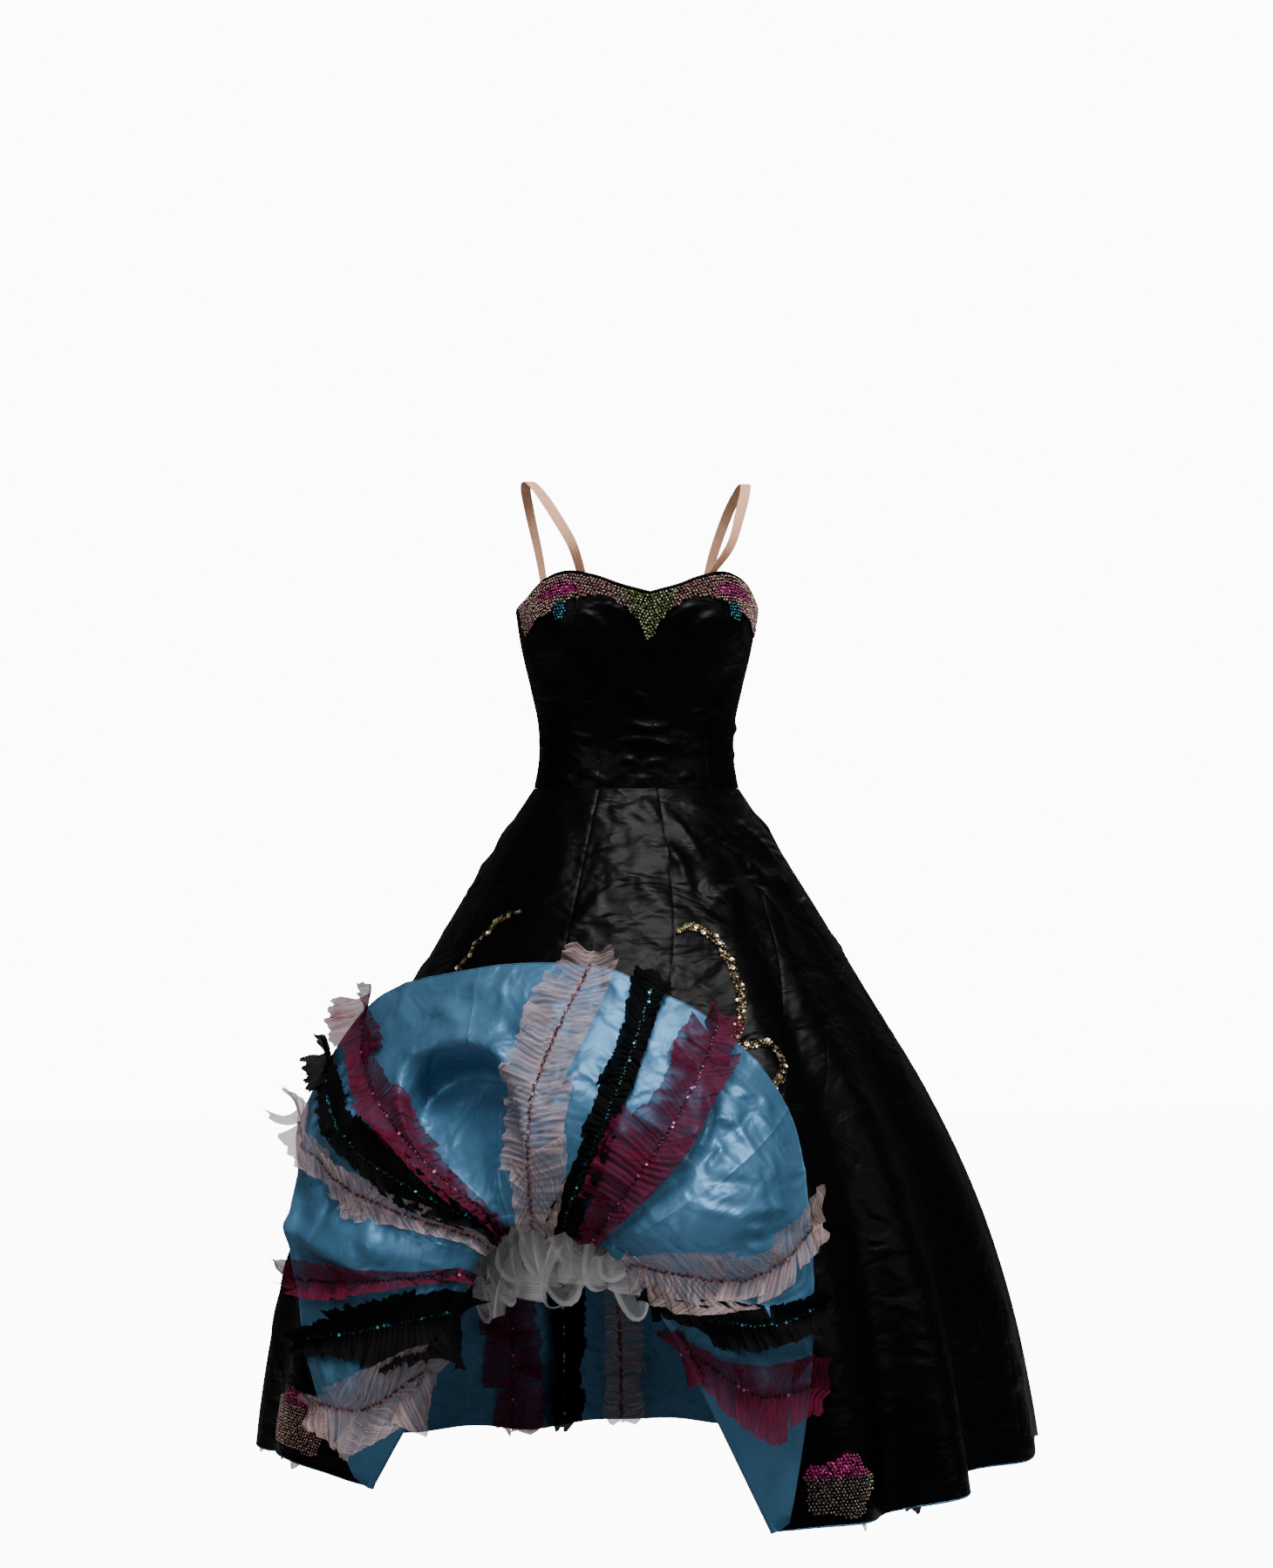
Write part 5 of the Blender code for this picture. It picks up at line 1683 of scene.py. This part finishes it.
def sewn_pieces():
    """One mesh of beads or sequins for each colour."""
    tree = sewing_tree()
    names = {item.name: item.identifier for item in tree.interface.items_tree if item.in_out == "INPUT"}
    forms = {"beads": bead_form(), "sequins": sequin_form()}
    for seed, (kind, (slot, material)) in enumerate(SEWN_ON.items()):
        places = np.concatenate(PLACES[kind])
        mesh = bpy.data.meshes.new(f"{kind}_places")
        mesh.from_pydata(places[:, :3].tolist(), [], [])
        mesh.attributes.new("out", "FLOAT_VECTOR", "POINT").data.foreach_set("vector", places[:, 3:6].ravel())
        mesh.attributes.new("size", "FLOAT", "POINT").data.foreach_set("value", places[:, 6].copy())
        holder = place_in_scene(f"{kind}_places", mesh)
        sewing = holder.modifiers.new("sewing", "NODES")
        sewing.node_group = tree
        for given, value in (
            ("Form", forms[slot]),
            ("Material", material),
            ("Tilt", FORM_TILTS[slot]),
            ("Size Spread", SIZE_SPREAD),
            ("Seed", seed),
        ):
            sewing[names[given]] = value
        whole = holder.evaluated_get(bpy.context.evaluated_depsgraph_get())
        made = place_in_scene(kind, bpy.data.meshes.new_from_object(whole))
        bpy.data.objects.remove(holder)
        ride_on_dress(made)
    for form in forms.values():
        bpy.data.objects.remove(form)


# Rolled edges
NECK_ROLL = (0.0013, 0.0022)
HEM_ROLL = (0.00156, 0.0012)

ROLL_SIDES = 8


def roll(name, path, out, across, half_sizes, material, closed):
    """A rolled edge round a path, with flat ends where it isn't closed."""
    turns = np.arange(ROLL_SIDES) * math.pi / (ROLL_SIDES / 2)
    ring = np.cos(turns)[:, None, None] * out * half_sizes[0]
    ring = ring + np.sin(turns)[:, None, None] * across * half_sizes[1]
    points = np.swapaxes(path + ring, 0, 1)
    rows = len(points)
    index = np.arange(rows * ROLL_SIDES).reshape(rows, ROLL_SIDES)
    if closed:
        index = np.concatenate([index, index[:1]])
    faces = quads(index, closed=True).tolist()
    if not closed:
        faces += [index[0].tolist(), index[-1, ::-1].tolist()]
    uv = np.stack([np.tile(turns * half_sizes[1], rows), np.repeat(arc_lengths(path, 0), ROLL_SIDES)], -1)
    made = mesh_object(name, points.reshape(-1, 3), faces, uv, material)
    fixed = bmesh.new()
    fixed.from_mesh(made.data)
    bmesh.ops.recalc_face_normals(fixed, faces=fixed.faces)
    fixed.to_mesh(made.data)
    fixed.free()
    return made


NECK_COLUMNS = 360
NECK_ROLL_OVERLAP = 0.7


def neck_binding():
    """The rolled binding of the bodice's top edge."""
    gore = np.linspace(-GORES / 2, GORES / 2, NECK_COLUMNS, endpoint=False)
    share = np.zeros_like(gore)
    out = bodice_normal(gore, share)
    path = bodice_surface(gore, share) - out * BODICE_WALL / 2
    down = unit(bodice_surface(gore, share + STEP) - bodice_surface(gore, share))
    path = path + down * NECK_ROLL[1] * NECK_ROLL_OVERLAP
    made = roll("neck_binding", path, out, down, NECK_ROLL, BLACK_SATIN, True)
    ride_on_dress(made)


STAY_COLUMNS = 160
STAY_SHARES = (0.95, 0.98, 1.0)
STAY_CLEARANCE = 0.0012
STAY_BELOW_WAIST = 0.005


def waist_stay():
    """A tape inside the waist seam, which backs it all round."""
    gore, share = np.meshgrid(np.linspace(-GORES / 2, GORES / 2, STAY_COLUMNS, endpoint=False), STAY_SHARES)
    points = bodice_surface(gore, share) - bodice_normal(gore, share) * (BODICE_WALL + STAY_CLEARANCE)
    points = np.concatenate([points, points[-1:] - STAY_BELOW_WAIST * UP])
    made = thin_sheet("waist_stay", points, BLACK_SATIN, closed=True)
    flat, area = cut_of(points, closed=True)
    ride_on_dress(made)


HEM_EDGE_POINTS = 520


def hem_edges():
    """The lining is rolled over the shell's raw edge, all round the hem."""
    for name, first, last, row in (
        ("hanging_hem_edge", LIFTED, GORES - LIFTED, 1.0),
        ("raised_hem_edge", -LIFTED, LIFTED, 3.0),
    ):
        gore = np.linspace(first, last, HEM_EDGE_POINTS)
        around = np.where(gore > GORES / 2, gore - GORES, gore)
        path, out = skirt_face(around, np.full_like(gore, row), row, SATIN)
        down = path - skirt_face(around, np.full_like(gore, row - STEP), row, SATIN)[0]
        made = roll(name, path, out, unit(down), HEM_ROLL, BLUE_SATIN, False)
        ride_on_dress(made)


# Studio
STUDIO_AIR = 0.07
BACKGROUND_GLOW = 12.0
FLOOR_GLOW = 11.4
GLOW_BEHIND_NET = 0.9
FLOOR_HEIGHT = -1.06
FLOOR_HALF_WIDTH = 9.0
LIGHTS = table(
    "name place aim_height size power",
    ("key_light", (0.25, -2.05, 4.1), -0.2, 2.0, 285.0),
    ("left_light", (-3.4, -3.0, 1.6), -0.4, 2.4, 48.0),
    ("right_light", (3.2, -3.2, 1.8), -0.4, 2.4, 26.0),
    ("back_light", (1.2, 3.4, 2.6), -0.4, 2.4, 70.0),
)
CAMERA_LENS = 104.5
CAMERA_DISTANCE = 5.4
CAMERA_HEIGHT = 0.005
CAMERA_AZIMUTH = math.radians(-10.0)
CAMERA_REACH = 60.0


def floor_finish():
    """A floor as pale as the air behind it, which throws no light of its own on the dress."""
    finish = Finish("pale_floor")
    path = finish.add("ShaderNodeLightPath").outputs
    finish.set(Base_Color=(0.28, 0.28, 0.28, 1.0), Roughness=0.9, Emission_Color=(1.0, 1.0, 1.0, 1.0))
    glow = finish.to_range(path["Transparent Depth"], FLOOR_GLOW, GLOW_BEHIND_NET)
    finish.set(Emission_Strength=finish.to_range(path["Is Camera Ray"], 0.0, glow))
    return finish.material


def studio_air():
    """Pale air behind the dress, of which little falls on it."""
    world = bpy.data.worlds.new("studio_air")
    world.use_nodes = True
    nodes, links = world.node_tree.nodes, world.node_tree.links
    path = nodes.new("ShaderNodeLightPath")
    glow, strength = nodes.new("ShaderNodeMapRange"), nodes.new("ShaderNodeMapRange")
    glow.inputs["To Min"].default_value = BACKGROUND_GLOW
    glow.inputs["To Max"].default_value = GLOW_BEHIND_NET
    strength.inputs["To Min"].default_value = STUDIO_AIR
    links.new(path.outputs["Transparent Depth"], glow.inputs["Value"])
    links.new(glow.outputs["Result"], strength.inputs["To Max"])
    links.new(path.outputs["Is Camera Ray"], strength.inputs["Value"])
    links.new(strength.outputs["Result"], nodes["Background"].inputs["Strength"])
    nodes["Background"].inputs["Color"].default_value = (1.0, 1.0, 1.0, 1.0)
    bpy.context.scene.world = world


def studio():
    """A plain pale floor, soft light from above the front, and the camera at the photograph's angle."""
    corners = (-FLOOR_HALF_WIDTH, FLOOR_HALF_WIDTH)
    points = np.array([[(x, -y, FLOOR_HEIGHT) for x in corners] for y in corners])
    thin_sheet("floor", points, floor_finish())
    for light in LIGHTS:
        lamp = bpy.data.lights.new(light.name, "AREA")
        lamp.shape = "SQUARE"
        lamp.size = light.size
        lamp.energy = light.power
        holder = place_in_scene(light.name, lamp)
        holder.location = light.place
        aim = Vector((0.0, 0.0, light.aim_height)) - Vector(light.place)
        holder.rotation_euler = aim.to_track_quat("-Z", "Y").to_euler()
    studio_air()
    lens = bpy.data.cameras.new("camera")
    lens.lens = CAMERA_LENS
    lens.clip_end = CAMERA_REACH
    camera = place_in_scene("camera", lens)
    sideways = CAMERA_DISTANCE * math.sin(CAMERA_AZIMUTH)
    forwards = CAMERA_DISTANCE * math.cos(CAMERA_AZIMUTH)
    camera.location = (sideways, -forwards, CAMERA_HEIGHT)
    camera.rotation_euler = (math.radians(90.0), 0.0, CAMERA_AZIMUTH)
    bpy.context.scene.camera = camera


def main():
    for index in range(-GORES // 2, GORES // 2):
        skirt_gore(index)
        for kind in RUFFLES:
            net_ruffle(kind, index)
    for side in (-1, 1):
        for panel in BODICE_PANELS:
            bodice_panel(panel, side)
        strap(side)
    petticoat_upper()
    petticoat_frill()
    for tier in LOOP_TIERS:
        petticoat_loops(tier)
    waist_stay()
    neck_binding()
    hem_edges()
    neckline_beads()
    for flower in HEM_FLOWERS:
        hem_flower(flower)
    for mirrored in (False, True):
        scroll(mirrored)
    sewn_pieces()
    studio()


main()
